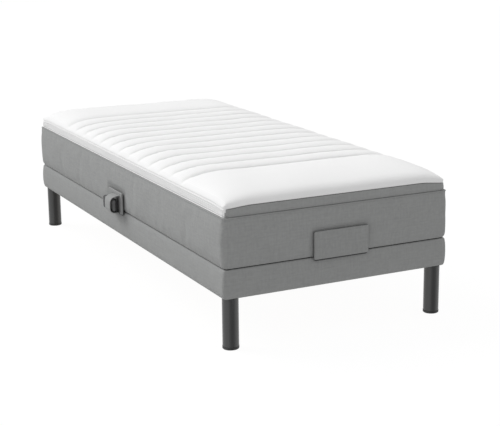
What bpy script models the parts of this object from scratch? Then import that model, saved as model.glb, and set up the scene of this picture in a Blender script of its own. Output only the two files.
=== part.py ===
"""An adjustable single bed: an upholstered base on four round legs, a platform hinged
in four sections with two linear actuators, a mattress, a quilted topper, two mattress
retainers and a remote control in a loop.

The bed lies along Y with its head end at +Y, Z is up and the floor is z = 0. Lengths
are in metres. Positions are measured from the point on the floor under the middle of
the mattress, which the empty named "bed" marks.
"""

import math

import bmesh
import bpy
from mathutils import Matrix, Vector

# ---- driving dimensions -------------------------------------------------------------
WIDTH = 0.900
LENGTH = 2.000
LEG_HEIGHT = 0.185
BASE_HEIGHT = 0.102
MATTRESS_HEIGHT = 0.180
TOPPER_HEIGHT = 0.065
BED_X = 0.029  # the remote's loop stands out on one side, so the bed's middle is off centre
BED_Y = 0.0085  # and so does the foot retainer at the foot end

GAP = 0.0003  # between pieces that touch
FABRIC_SWELL = 0.0035  # how far the upholstery stands out past the nominal size
COVER_THICKNESS = 0.010
BOARD_THICKNESS = 0.016
COVER_ROUND = 0.003
OVERLAP = 0.002  # of pieces made as one
OVERSHOOT = 0.002  # of a cutter past the piece it cuts

# ---- levels -------------------------------------------------------------------------
BASE_TOP = LEG_HEIGHT + BASE_HEIGHT
DECK_TOP = BASE_TOP + 0.0047
DECK_THICKNESS = 0.016
DECK_BOTTOM = DECK_TOP - DECK_THICKNESS
MATTRESS_BOTTOM = DECK_TOP + GAP
MATTRESS_TOP = MATTRESS_BOTTOM + MATTRESS_HEIGHT
TOPPER_BOTTOM = MATTRESS_TOP + GAP
TOPPER_TOP = TOPPER_BOTTOM + TOPPER_HEIGHT
RAIL_BOTTOM = LEG_HEIGHT + 0.002
RAIL_TOP = BASE_TOP - 0.002

# ---- outlines, as half widths -------------------------------------------------------
COVER_X = WIDTH / 2 + FABRIC_SWELL
COVER_Y = LENGTH / 2 + FABRIC_SWELL
RAIL_X = COVER_X - COVER_THICKNESS - GAP
RAIL_Y = COVER_Y - COVER_THICKNESS - GAP
INNER_X = RAIL_X - BOARD_THICKNESS
INNER_Y = RAIL_Y - BOARD_THICKNESS
MATTRESS_X = WIDTH / 2 + 0.004
MATTRESS_Y = LENGTH / 2 + 0.004
TOPPER_INSET = 0.005
SOFT_ROUND = 0.005
DECK_X = 0.405
DECK_Y = 0.965

# ---- hinges -------------------------------------------------------------------------
HINGE_Z = DECK_TOP - 0.011
BACK_HINGE_Y = 0.220
THIGH_HINGE_Y = -0.080
KNEE_Y = -0.420
BACK_LIFT = math.radians(50)
THIGH_LIFT = math.radians(30)
HINGE_GAP = 0.007  # from a hinge's axis to the end of each deck
ROD_RADIUS = 0.006
RUNNING = 0.0003  # radial clearance of a turning pin
KNUCKLE_RADIUS = 0.0105
KNUCKLE_WIDTH = 0.024
KNUCKLE_X = 0.385
KNUCKLE_ROOM = 0.002
LEVER_NOTCH_HALF = 0.018
NOTCH_OVERSHOOT = 0.010
CALF_KNUCKLE_X = 0.355
STRUT_BACK = 0.400  # from a hinge back to the strut's pin, along the bed
STRUT_DROP = 0.030
STRUT_X = 0.360
STRUT_HALF = (0.003, 0.010)  # half its thickness and half its height
STRUT_END = 0.011  # from a strut's pin to its end
STRUT_LUG_THICKNESS = 0.007
PIN_RADIUS = 0.005
SEAT_FRAME_THICKNESS = 0.010
SEAT_FRAME_MARGIN = 0.025  # from a hinge to the seat frame's end
SEAT_LUG_HALF = 0.014
STRUT_BRACKET_THICKNESS = 0.012

# ---- actuators ----------------------------------------------------------------------
ACTUATOR_X = 0.120
LEVER_LENGTH = 0.110
FORK_GAP = 0.0075  # from the fork's middle to the inner face of each plate
PLATE_THICKNESS = 0.005
PLATE_HALF = 0.010
PLATE_END = 0.0065  # from a lever's axis or pin to the end of its plates
FORK_PIN_HALF = FORK_GAP + PLATE_THICKNESS + 0.002
EYE_THICKNESS = 0.012
EYE_HALF = 0.010
EYE_END = 0.011  # from a pin to the end of the eye round it
SLOT_PLAY = 0.001
ACTUATOR_REACH = 0.4735  # from the tail pin to the lever's pin, at rest
TUBE_RADIUS = 0.015
PUSH_ROD_RADIUS = 0.009
FORK_CLEARANCE = 0.017  # from the lever's pin to the round part of the push rod
BORE_CLEARANCE = 0.0004  # radial, of a push rod in its tube
BAR_HALF = 0.015
BAR_HEIGHT = 0.040
BAR_WALL = 0.0025
MOTOR_ALONG = (0.020, 0.120)  # from the tail pin, along the actuator
MOTOR_HALF = 0.028
MOTOR_ABOVE = 0.034
MOTOR_ROUND = 0.006
CAN_RADIUS = 0.023
CAN_REACH = 0.125
TUBE_END = 0.450  # from the tail pin
PUSH_ROD_START = 0.290
TUBE_BORE_START = 0.135
CONTROL_BOX_FOOT = (0.205, 0.015)
CONTROL_BOX_SIZE = (0.130, 0.130, 0.045)
CONTROL_BOX_ROUND = 0.004
INLET_SIZE = (0.028, 0.012, 0.020)

# ---- legs ---------------------------------------------------------------------------
LEG_RADIUS = 0.029
LEG_INSET = (0.034, 0.0295)  # from the nominal sides and ends to a leg's middle
FOOT_CAP_HEIGHT = 0.010
STUD_RADIUS = 0.005
STUD_LENGTH = 0.035
LEG_EDGE = 0.001
CAP_EDGE = 0.002
CAP_PROUD = 0.0006  # of the leg
BLOCK_SIZE = 0.062
BLOCK_HEIGHT = 0.075

# ---- retainers, loop and remote -----------------------------------------------------
RETAINER_THICKNESS = 0.012
BRACKET_THICKNESS = 0.0025
BRACKET_WIDTH = 0.060
BRACKET_GAP = 0.0025  # from the mattress to the bracket's upright
BRACKET_BOTTOM = DECK_TOP - 0.0027
BRACKET_ROOM = 0.001  # beside a bracket in its recess
SIDE_BRACKET_REACH = 0.058  # onto the deck
SIDE_RECESS = SIDE_BRACKET_REACH + 2 * BRACKET_ROOM
FOOT_BRACKET_REACH = 0.078
FOOT_RECESS = FOOT_BRACKET_REACH + 2 * BRACKET_ROOM
RETAINER_BOTTOM = BASE_TOP - 0.0005
SIDE_RETAINER_Y = -0.013
SIDE_RETAINER_SIZE = (0.170, 0.083)
FOOT_RETAINER_SIZE = (0.220, 0.099)
LOOP_Y = -0.033
LOOP_WIDTH = 0.058
LOOP_HEIGHT = 0.066
LOOP_DEPTH = 0.040
LOOP_THICKNESS = 0.003
REMOTE_SIZE = (0.023, 0.113, 0.052)
REMOTE_Y = -0.0035
REMOTE_DROP = 0.0015  # the remote lies low in its loop
REMOTE_GAP = 0.001  # from the strap to the remote
REMOTE_ROUND = 0.007
BUTTON_SIZE = 0.013
BUTTON_PITCH = (0.020, 0.021)  # along the remote and across it
BUTTON_INSET = 0.014  # from the remote's end to the first keys' middle
BUTTON_TRAVEL = 0.0012
BUTTON_POCKET = 0.004
BUTTON_PROUD = 0.0014
BUTTON_ROUND = 0.0006

# ---- finishes: colour, roughness, metallic ------------------------------------------
FINISHES = {
    "grey_fabric": ((0.25, 0.26, 0.26), 0.92, 0.0),
    "white_fabric": ((0.86, 0.86, 0.86), 0.90, 0.0),
    "leg_paint": ((0.055, 0.057, 0.058), 0.45, 0.0),
    "dark_plastic": ((0.030, 0.031, 0.033), 0.50, 0.0),
    "button_rubber": ((0.12, 0.12, 0.12), 0.70, 0.0),
    "pine": ((0.55, 0.40, 0.24), 0.60, 0.0),
    "plywood": ((0.50, 0.36, 0.22), 0.65, 0.0),
    "black_steel": ((0.040, 0.040, 0.042), 0.40, 0.9),
    "zinc_steel": ((0.55, 0.56, 0.58), 0.35, 1.0),
}

SIDES = {"left": -1, "right": 1}
ENDS = {"foot": -1, "head": 1}


# ---- setting up ---------------------------------------------------------------------
for old in list(bpy.data.objects):
    bpy.data.objects.remove(old)

bed_parts = bpy.data.collections.new("adjustable_bed")
cutters = bpy.data.collections.new("cutters")
for collection in (bed_parts, cutters):
    bpy.context.scene.collection.children.link(collection)

pivots = {}


def add_pivot(name, place, parent=None):
    """An empty on a joint's axis, which carries the pieces that move about it."""
    pivot = bpy.data.objects.new(name, None)
    bed_parts.objects.link(pivot)
    pivot.parent = pivots.get(parent, (None, None))[0]
    origin = pivots[parent][1] if parent else Vector((0, 0, 0))
    pivot.location = Vector(place) - origin
    pivots[name] = (pivot, Vector(place))


def finish_of(name, kind):
    """The piece's own material, in one of the finishes above."""
    colour, roughness, metallic = FINISHES[kind]
    material = bpy.data.materials.new(name + "_finish")
    material.use_nodes = True
    shader = material.node_tree.nodes["Principled BSDF"]
    shader.inputs["Base Color"].default_value = (*colour, 1.0)
    shader.inputs["Roughness"].default_value = roughness
    shader.inputs["Metallic"].default_value = metallic
    material.diffuse_color = (*colour, 1.0)
    return material


def place(name, mesh, middle, pivot, kind=None):
    """An object at middle under its pivot: a piece in its finish, or a cutter if it has none."""
    item = bpy.data.objects.new(name, mesh)
    (bed_parts if kind else cutters).objects.link(item)
    carrier, origin = pivots[pivot]
    item.parent = carrier
    item.location = Vector(middle) - origin
    if kind:
        mesh.materials.append(finish_of(name, kind))
    else:
        item.hide_render = True
        item.display_type = "WIRE"
    return item


def box(name, low, high, pivot="bed", kind=None, lean=0.0):
    """A block between two corners, turned by lean about X through its middle."""
    low, high = Vector(low), Vector(high)
    mesh = bpy.data.meshes.new(name)
    shape = bmesh.new()
    bmesh.ops.create_cube(shape, size=1.0)
    bmesh.ops.scale(shape, vec=high - low, verts=shape.verts)
    turn = Matrix.Rotation(lean, 3, "X")
    bmesh.ops.rotate(shape, cent=(0, 0, 0), matrix=turn, verts=shape.verts)
    shape.to_mesh(mesh)
    shape.free()
    return place(name, mesh, (low + high) / 2, pivot, kind)


def rod(name, start, end, radius, pivot="bed", kind=None, sides=32):
    """A round bar from start to end."""
    start, end = Vector(start), Vector(end)
    mesh = bpy.data.meshes.new(name)
    shape = bmesh.new()
    bmesh.ops.create_cone(
        shape,
        cap_ends=True,
        segments=sides,
        radius1=radius,
        radius2=radius,
        depth=(end - start).length,
    )
    turn = Vector((0, 0, 1)).rotation_difference(end - start).to_matrix()
    bmesh.ops.rotate(shape, cent=(0, 0, 0), matrix=turn, verts=shape.verts)
    shape.to_mesh(mesh)
    shape.free()
    mesh.shade_smooth()
    mesh.set_sharp_from_angle(angle=math.radians(35))
    return place(name, mesh, (start + end) / 2, pivot, kind)


def crosswise(name, x_low, x_high, y, z, radius, pivot="bed", kind=None):
    """A round bar across the bed."""
    return rod(name, (x_low, y, z), (x_high, y, z), radius, pivot, kind)


def combine(piece, tool, operation):
    """Join a helper to a piece, or cut it away, with a Boolean modifier."""
    step = piece.modifiers.new(tool.name, "BOOLEAN")
    step.operation = operation
    step.solver = "EXACT"
    step.object = tool


def join(piece, tool):
    combine(piece, tool, "UNION")


def cut(piece, tool):
    combine(piece, tool, "DIFFERENCE")


def round_edges(piece, radius, segments=2):
    """Round every edge that is sharper than 40 degrees."""
    bevel = piece.modifiers.new("rounded_edges", "BEVEL")
    bevel.width = radius
    bevel.segments = segments
    bevel.limit_method = "ANGLE"
    bevel.angle_limit = math.radians(40)
    bevel.harden_normals = False


def turned(name, profile, middle, pivot, kind, steps=40):
    """A turned piece, from a profile that runs down its outer side."""
    mesh = bpy.data.meshes.new(name)
    edges = [(i, i + 1) for i in range(len(profile) - 1)]
    mesh.from_pydata([(radius, 0.0, height) for radius, height in profile], edges, [])
    piece = place(name, mesh, middle, pivot, kind)
    screw = piece.modifiers.new("turned", "SCREW")
    screw.steps = steps
    screw.render_steps = steps
    screw.use_merge_vertices = True
    screw.merge_threshold = 0.00001
    screw.use_smooth_shade = False
    return piece


# ---- the base: boards, covers, corner blocks and legs -------------------------------
def make_base():
    for side, sign in SIDES.items():
        near, far = sorted((sign * INNER_X, sign * RAIL_X))
        name = "side_rail_" + side
        box(name, (near, -RAIL_Y, RAIL_BOTTOM), (far, RAIL_Y, RAIL_TOP), kind="pine")
        near, far = sorted((sign * (RAIL_X + GAP), sign * COVER_X))
        low, high = (near, -COVER_Y, LEG_HEIGHT), (far, COVER_Y, BASE_TOP)
        round_edges(box("base_cover_" + side, low, high, kind="grey_fabric"), COVER_ROUND)
    for end, sign in ENDS.items():
        near, far = sorted((sign * INNER_Y, sign * RAIL_Y))
        reach = INNER_X - GAP
        box(end + "_rail", (-reach, near, RAIL_BOTTOM), (reach, far, RAIL_TOP), kind="pine")
        near, far = sorted((sign * (RAIL_Y + GAP), sign * COVER_Y))
        low, high = (-RAIL_X, near, LEG_HEIGHT), (RAIL_X, far, BASE_TOP)
        round_edges(box("base_cover_" + end, low, high, kind="grey_fabric"), COVER_ROUND)


def make_corner(end, side):
    """One corner's wooden block, leg and floor cap."""
    sign_x, sign_y = SIDES[side], ENDS[end]
    x = sign_x * (WIDTH / 2 - LEG_INSET[0])
    y = sign_y * (LENGTH / 2 - LEG_INSET[1])
    tag = end + "_" + side
    block_x = sorted((sign_x * (INNER_X - GAP), sign_x * (INNER_X - BLOCK_SIZE)))
    block_y = sorted((sign_y * (INNER_Y - GAP), sign_y * (INNER_Y - BLOCK_SIZE)))
    low = (block_x[0], block_y[0], LEG_HEIGHT)
    high = (block_x[1], block_y[1], LEG_HEIGHT + BLOCK_HEIGHT)
    block = box("corner_block_" + tag, low, high, kind="pine")
    bottom, top = LEG_HEIGHT - OVERSHOOT, LEG_HEIGHT + STUD_LENGTH + OVERSHOOT
    cut(block, rod("stud_bore_" + tag, (x, y, bottom), (x, y, top), STUD_RADIUS + RUNNING))

    leg_bottom = FOOT_CAP_HEIGHT + GAP
    leg_top = LEG_HEIGHT - GAP
    stud_top = leg_top + STUD_LENGTH
    profile = [
        (0.0, stud_top),
        (STUD_RADIUS, stud_top),
        (STUD_RADIUS, leg_top),
        (LEG_RADIUS - LEG_EDGE, leg_top),
        (LEG_RADIUS, leg_top - LEG_EDGE),
        (LEG_RADIUS, leg_bottom),
        (0.0, leg_bottom),
    ]
    turned("leg_" + tag, profile, (x, y, 0), "bed", "leg_paint")
    cap_radius = LEG_RADIUS + CAP_PROUD
    profile = [
        (0.0, FOOT_CAP_HEIGHT),
        (cap_radius, FOOT_CAP_HEIGHT),
        (cap_radius, CAP_EDGE),
        (cap_radius - CAP_EDGE, 0.0),
        (0.0, 0.0),
    ]
    turned("floor_cap_" + tag, profile, (x, y, 0), "bed", "dark_plastic")


# ---- the platform's four decks ------------------------------------------------------
def deck(name, foot_y, head_y, pivot):
    """One section's plywood deck."""
    low, high = (-DECK_X, foot_y, DECK_BOTTOM), (DECK_X, head_y, DECK_TOP)
    return box(name, low, high, pivot, "plywood")


def add_knuckles(piece, y, x, pivot):
    """Two round hinge knuckles on a deck's end, each bored for its rod."""
    for sign in (-1, 1):
        low, high = sign * x - KNUCKLE_WIDTH / 2, sign * x + KNUCKLE_WIDTH / 2
        label = f"{piece.name}_{y:.2f}_{sign}"
        join(piece, crosswise("knuckle_" + label, low, high, y, HINGE_Z, KNUCKLE_RADIUS, pivot))
        low, high = low - OVERSHOOT, high + OVERSHOOT
        radius = ROD_RADIUS + RUNNING
        cut(piece, crosswise("bore_" + label, low, high, y, HINGE_Z, radius, pivot))


def notch(piece, y, x, half_width, half_depth, pivot):
    """A notch in a deck's end at a hinge, on one side of the bed."""
    low = (x - half_width, y - half_depth, DECK_BOTTOM - NOTCH_OVERSHOOT)
    high = (x + half_width, y + half_depth, DECK_TOP + NOTCH_OVERSHOOT)
    cut(piece, box(f"notch_{piece.name}_{y:.2f}_{x:.3f}", low, high, pivot))


def notch_knuckles(piece, y, x, pivot):
    """Room for the neighbouring deck's knuckles."""
    half_width, half_depth = KNUCKLE_WIDTH / 2 + KNUCKLE_ROOM, KNUCKLE_RADIUS + KNUCKLE_ROOM
    for sign in (-1, 1):
        notch(piece, y, sign * x, half_width, half_depth, pivot)


def make_decks():
    lever_room = FORK_GAP + PLATE_THICKNESS + 0.004
    seat = deck("seat_deck", THIGH_HINGE_Y + HINGE_GAP, BACK_HINGE_Y - HINGE_GAP, "bed")
    notch_knuckles(seat, BACK_HINGE_Y, KNUCKLE_X, "bed")
    notch_knuckles(seat, THIGH_HINGE_Y, KNUCKLE_X, "bed")
    notch(seat, BACK_HINGE_Y, ACTUATOR_X, lever_room, LEVER_NOTCH_HALF, "bed")
    notch(seat, THIGH_HINGE_Y, -ACTUATOR_X, lever_room, LEVER_NOTCH_HALF, "bed")
    half = BRACKET_WIDTH / 2 + BRACKET_ROOM
    low = (-DECK_X - OVERSHOOT, SIDE_RETAINER_Y - half, BRACKET_BOTTOM - GAP)
    high = (-DECK_X + SIDE_RECESS, SIDE_RETAINER_Y + half, DECK_TOP + OVERSHOOT)
    cut(seat, box("side_bracket_recess", low, high))

    back = deck("back_deck", BACK_HINGE_Y + HINGE_GAP, DECK_Y, "back_hinge")
    notch(back, BACK_HINGE_Y, ACTUATOR_X, lever_room, LEVER_NOTCH_HALF, "back_hinge")
    add_knuckles(back, BACK_HINGE_Y, KNUCKLE_X, "back_hinge")

    thigh = deck("thigh_deck", KNEE_Y + HINGE_GAP, THIGH_HINGE_Y - HINGE_GAP, "thigh_hinge")
    notch(thigh, THIGH_HINGE_Y, -ACTUATOR_X, lever_room, LEVER_NOTCH_HALF, "thigh_hinge")
    notch_knuckles(thigh, KNEE_Y, CALF_KNUCKLE_X, "thigh_hinge")
    add_knuckles(thigh, THIGH_HINGE_Y, KNUCKLE_X, "thigh_hinge")
    add_knuckles(thigh, KNEE_Y, KNUCKLE_X, "thigh_hinge")

    calf = deck("calf_deck", -DECK_Y, KNEE_Y - HINGE_GAP, "knee_hinge")
    notch_knuckles(calf, KNEE_Y, KNUCKLE_X, "knee_hinge")
    add_knuckles(calf, KNEE_Y, CALF_KNUCKLE_X, "knee_hinge")
    half = BRACKET_WIDTH / 2 + BRACKET_ROOM
    low = (-half, -DECK_Y - OVERSHOOT, BRACKET_BOTTOM - GAP)
    high = (half, -DECK_Y + FOOT_RECESS, DECK_TOP + OVERSHOOT)
    cut(calf, box("foot_bracket_recess", low, high, "knee_hinge"))
    add_strut_lugs(calf)


def add_strut_lugs(calf):
    """Two plates under the calf deck, each with the pin of a strut's far end."""
    y, z = KNEE_Y - STRUT_BACK, HINGE_Z - STRUT_DROP
    for sign in (-1, 1):
        inner = STRUT_X + 0.005
        near, far = sorted((sign * inner, sign * (inner + STRUT_LUG_THICKNESS)))
        low, high = (near, y - 0.014, z - 0.013), (far, y + 0.014, DECK_BOTTOM + OVERLAP)
        join(calf, box(f"strut_lug_{sign}", low, high, "knee_hinge"))
        near, far = sorted((sign * (STRUT_X - 0.006), sign * (inner + STRUT_LUG_THICKNESS / 2)))
        join(calf, crosswise(f"strut_pin_{sign}", near, far, y, z, PIN_RADIUS, "knee_hinge"))


# ---- hinge rods and levers ----------------------------------------------------------
def torque_rod(name, y, x, lean, pivot):
    """A hinge rod with a forked lever hanging from it at x, and the lever's pin.

    The lever leans by half the section's lift one way at rest, and the other way when
    the section is up, so its pin travels along the bed and rises only a little."""
    reach = INNER_X - 0.001
    piece = crosswise(name, -reach, reach, y, HINGE_Z, ROD_RADIUS, pivot, "black_steel")
    middle_y = y + math.sin(lean) * LEVER_LENGTH / 2
    middle_z = HINGE_Z - math.cos(lean) * LEVER_LENGTH / 2
    half_length = LEVER_LENGTH / 2 + PLATE_END
    for sign in (-1, 1):
        near, far = sorted((x + sign * FORK_GAP, x + sign * (FORK_GAP + PLATE_THICKNESS)))
        low = (near, middle_y - PLATE_HALF, middle_z - half_length)
        high = (far, middle_y + PLATE_HALF, middle_z + half_length)
        join(piece, box(f"{name}_plate_{sign}", low, high, pivot, lean=lean))
    pin_y = y + math.sin(lean) * LEVER_LENGTH
    pin_z = HINGE_Z - math.cos(lean) * LEVER_LENGTH
    low_x, high_x = x - FORK_PIN_HALF, x + FORK_PIN_HALF
    join(piece, crosswise(name + "_pin", low_x, high_x, pin_y, pin_z, PIN_RADIUS, pivot))


def make_hinge_rods():
    torque_rod("back_torque_rod", BACK_HINGE_Y, ACTUATOR_X, -BACK_LIFT / 2, "back_hinge")
    torque_rod("thigh_torque_rod", THIGH_HINGE_Y, -ACTUATOR_X, THIGH_LIFT / 2, "thigh_hinge")
    reach = KNUCKLE_X + KNUCKLE_WIDTH / 2 + 0.003
    crosswise("knee_rod", -reach, reach, KNEE_Y, HINGE_Z, ROD_RADIUS, "thigh_hinge", "black_steel")


def make_seat_frame(side):
    """A steel plate on the side board that carries the seat deck and two hinge rods."""
    sign = SIDES[side]
    outer = INNER_X - GAP
    near, far = sorted((sign * outer, sign * (outer - SEAT_FRAME_THICKNESS)))
    low = (near, THIGH_HINGE_Y - SEAT_FRAME_MARGIN, HINGE_Z - 0.036)
    high = (far, BACK_HINGE_Y + SEAT_FRAME_MARGIN, DECK_BOTTOM - 0.001)
    frame = box("seat_frame_" + side, low, high, kind="black_steel")
    for label, y in (("back", BACK_HINGE_Y), ("thigh", THIGH_HINGE_Y)):
        low = (near, y - SEAT_LUG_HALF, DECK_BOTTOM - 0.004)
        high = (far, y + SEAT_LUG_HALF, DECK_TOP - 0.0008)
        join(frame, box(f"{label}_lug_{side}", low, high))
    inner = DECK_X - 0.030
    ledge_x = sorted((sign * inner, sign * (outer - SEAT_FRAME_THICKNESS + OVERLAP)))
    low = (ledge_x[0], THIGH_HINGE_Y + 0.022, DECK_BOTTOM - 0.006)
    high = (ledge_x[1], BACK_HINGE_Y - 0.022, DECK_BOTTOM - GAP)
    join(frame, box("seat_ledge_" + side, low, high))
    for label, y in (("back", BACK_HINGE_Y), ("thigh", THIGH_HINGE_Y)):
        low_x, high_x = near - OVERSHOOT, far + OVERSHOOT
        bore = crosswise(f"{label}_bore_{side}", low_x, high_x, y, HINGE_Z, ROD_RADIUS + RUNNING)
        cut(frame, bore)


# ---- the struts that keep the calf section level ------------------------------------
def make_strut(side):
    """A strut as long as the thigh section and parallel to it, and its bracket."""
    sign = SIDES[side]
    z = HINGE_Z - STRUT_DROP
    fixed_y, moving_y = THIGH_HINGE_Y - STRUT_BACK, KNEE_Y - STRUT_BACK
    outer = INNER_X - GAP
    near, far = sorted((sign * outer, sign * (outer - STRUT_BRACKET_THICKNESS)))
    low, high = (near, fixed_y - 0.030, z - 0.025), (far, fixed_y + 0.030, z + 0.022)
    bracket = box("strut_bracket_" + side, low, high, kind="black_steel")
    near, far = sorted((sign * (STRUT_X - 0.006), sign * (outer - 0.004)))
    join(bracket, crosswise("bracket_pin_" + side, near, far, fixed_y, z, PIN_RADIUS))

    half_x, half_z = STRUT_HALF
    low = (sign * STRUT_X - half_x, moving_y - STRUT_END, z - half_z)
    high = (sign * STRUT_X + half_x, fixed_y + STRUT_END, z + half_z)
    strut = box("calf_strut_" + side, low, high, "strut_pivot", "zinc_steel")
    for label, y in (("fixed", fixed_y), ("moving", moving_y)):
        low_x = sign * STRUT_X - half_x - OVERSHOOT
        high_x = sign * STRUT_X + half_x + OVERSHOOT
        radius = PIN_RADIUS + RUNNING
        bore = crosswise(f"strut_{label}_bore_{side}", low_x, high_x, y, z, radius, "strut_pivot")
        cut(strut, bore)


# ---- actuators ----------------------------------------------------------------------
def actuator_levels(lift):
    """The height of an actuator's axis, and how far its lever's pin rises and falls."""
    rise = LEVER_LENGTH * (1 - math.cos(lift / 2))
    return HINGE_Z - LEVER_LENGTH + rise / 2, rise


def make_actuator(tag, hinge_y, x, direction, lift):
    """A crossbar, a motor pinned to it, its outer tube, and the push rod.

    The push rod's eye has an upright slot, in which the lever's pin rises and falls."""
    axis_z, rise = actuator_levels(lift)
    pin_y = hinge_y - direction * LEVER_LENGTH * math.sin(lift / 2)
    tail_y = pin_y - direction * ACTUATOR_REACH

    def span(near, far):
        """Two places along the bed, counted from the tail pin towards the lever."""
        return sorted((tail_y + direction * near, tail_y + direction * far))

    reach = INNER_X - GAP
    top = DECK_BOTTOM - GAP
    low, high = (-reach, tail_y - BAR_HALF, top - BAR_HEIGHT), (reach, tail_y + BAR_HALF, top)
    bar = box(tag + "_motor_crossbar", low, high, kind="black_steel")
    inside_low = (-reach - OVERSHOOT, low[1] + BAR_WALL, low[2] + BAR_WALL)
    inside_high = (reach + OVERSHOOT, high[1] - BAR_WALL, high[2] - BAR_WALL)
    cut(bar, box(tag + "_crossbar_hollow", inside_low, inside_high))
    for sign in (-1, 1):
        near, far = sorted((x + sign * FORK_GAP, x + sign * (FORK_GAP + PLATE_THICKNESS)))
        low = (near, tail_y - 0.012, axis_z - 0.012)
        high = (far, tail_y + 0.012, top - BAR_HEIGHT + 0.0015)
        join(bar, box(f"{tag}_hanger_{sign}", low, high))
    low_x, high_x = x - FORK_PIN_HALF, x + FORK_PIN_HALF
    join(bar, crosswise(tag + "_tail_pin", low_x, high_x, tail_y, axis_z, PIN_RADIUS))

    ends = span(*MOTOR_ALONG)
    low = (x - MOTOR_HALF, ends[0], axis_z - MOTOR_HALF)
    high = (x + MOTOR_HALF, ends[1], axis_z + MOTOR_ABOVE)
    motor = box(tag + "_actuator_motor", low, high, kind="dark_plastic")
    round_edges(motor, MOTOR_ROUND)
    outward = 1 if x > 0 else -1
    motor_y = tail_y + direction * sum(MOTOR_ALONG) / 2
    start, end = (x, motor_y, axis_z), (x + outward * CAN_REACH, motor_y, axis_z)
    join(motor, rod(tag + "_motor_can", start, end, CAN_RADIUS, sides=40))
    half_eye = EYE_THICKNESS / 2
    ends = span(-EYE_HALF, MOTOR_ALONG[0] + 2 * OVERLAP)
    low = (x - half_eye, ends[0], axis_z - EYE_HALF)
    high = (x + half_eye, ends[1], axis_z + EYE_HALF)
    join(motor, box(tag + "_tail_eye", low, high))
    half_bore = half_eye + OVERSHOOT
    radius = PIN_RADIUS + RUNNING
    bore = crosswise(tag + "_tail_bore", x - half_bore, x + half_bore, tail_y, axis_z, radius)
    cut(motor, bore)

    start, end = ((x, y, axis_z) for y in span(MOTOR_ALONG[1] + GAP, TUBE_END))
    tube = rod(tag + "_actuator_tube", start, end, TUBE_RADIUS, kind="zinc_steel")
    start, end = ((x, y, axis_z) for y in span(TUBE_BORE_START, TUBE_END + OVERSHOOT))
    cut(tube, rod(tag + "_tube_bore", start, end, PUSH_ROD_RADIUS + BORE_CLEARANCE))

    pivot = tag + "_push_rod_slide"
    shoulder = ACTUATOR_REACH - FORK_CLEARANCE
    start, end = ((x, y, axis_z) for y in span(PUSH_ROD_START, shoulder))
    push_rod = rod(tag + "_push_rod", start, end, PUSH_ROD_RADIUS, pivot, "zinc_steel")
    half_height = rise / 2 + EYE_END
    ends = span(shoulder - OVERLAP, ACTUATOR_REACH + EYE_END)
    low = (x - half_eye, ends[0], axis_z - half_height)
    high = (x + half_eye, ends[1], axis_z + half_height)
    join(push_rod, box(tag + "_rod_eye", low, high, pivot))
    half_slot = PIN_RADIUS + SLOT_PLAY
    low = (x - half_bore, pin_y - half_slot, axis_z - rise / 2 - half_slot)
    high = (x + half_bore, pin_y + half_slot, axis_z + rise / 2 + half_slot)
    cut(push_rod, box(tag + "_eye_slot", low, high, pivot))


def make_control_box():
    """The control box under the seat deck, with a recess for the mains inlet."""
    width, length, height = CONTROL_BOX_SIZE
    x, y = CONTROL_BOX_FOOT
    low, high = (x, y, DECK_BOTTOM - height), (x + width, y + length, DECK_BOTTOM - GAP)
    piece = box("control_box", low, high, kind="dark_plastic")
    round_edges(piece, CONTROL_BOX_ROUND)
    middle = x + width / 2
    inlet_width, inlet_depth, inlet_height = INLET_SIZE
    bottom = low[2] + inlet_height / 2
    inlet_low = (middle - inlet_width / 2, high[1] - inlet_depth, bottom)
    inlet_high = (middle + inlet_width / 2, high[1] + OVERSHOOT, bottom + inlet_height)
    cut(piece, box("mains_inlet_recess", inlet_low, inlet_high))


# ---- mattress and topper ------------------------------------------------------------
def soft_block(name, ends, levels, half_x, pivot, kind):
    """One section of the mattress or topper.

    Each end is a place along the bed and an angle: its face leans towards the head by
    that angle, about the hinge axis, so that it stays clear when the section is up."""
    (foot_y, foot_lean), (head_y, head_lean) = ends
    mesh = bpy.data.meshes.new(name)
    shape = bmesh.new()
    bmesh.ops.create_cube(shape, size=1.0)
    for vert in shape.verts:
        z = levels[1] if vert.co.z > 0 else levels[0]
        y, lean = (head_y, head_lean) if vert.co.y > 0 else (foot_y, foot_lean)
        vert.co = (math.copysign(half_x, vert.co.x), y + math.tan(lean) * (z - HINGE_Z), z)
    shape.to_mesh(mesh)
    shape.free()
    round_edges(place(name, mesh, (0, 0, 0), pivot, kind), SOFT_ROUND)


def make_bedding():
    half_gap = GAP / 2
    back = BACK_LIFT / 2
    thigh = -THIGH_LIFT / 2
    layers = (
        ("mattress", (MATTRESS_BOTTOM, MATTRESS_TOP), MATTRESS_X, MATTRESS_Y, "grey_fabric"),
        (
            "topper",
            (TOPPER_BOTTOM, TOPPER_TOP),
            MATTRESS_X - TOPPER_INSET,
            MATTRESS_Y - TOPPER_INSET,
            "white_fabric",
        ),
    )
    sections = (
        ("back", "back_hinge", (BACK_HINGE_Y + half_gap, back), None),
        ("seat", "bed", (THIGH_HINGE_Y + half_gap, thigh), (BACK_HINGE_Y - half_gap, back)),
        ("thigh", "thigh_hinge", (KNEE_Y + half_gap, 0.0), (THIGH_HINGE_Y - half_gap, thigh)),
        ("calf", "knee_hinge", None, (KNEE_Y - half_gap, 0.0)),
    )
    for layer, levels, half_x, half_y, kind in layers:
        for section, pivot, foot, head in sections:
            ends = (foot or (-half_y, 0.0), head or (half_y, 0.0))
            soft_block(f"{layer}_{section}", ends, levels, half_x, pivot, kind)


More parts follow.
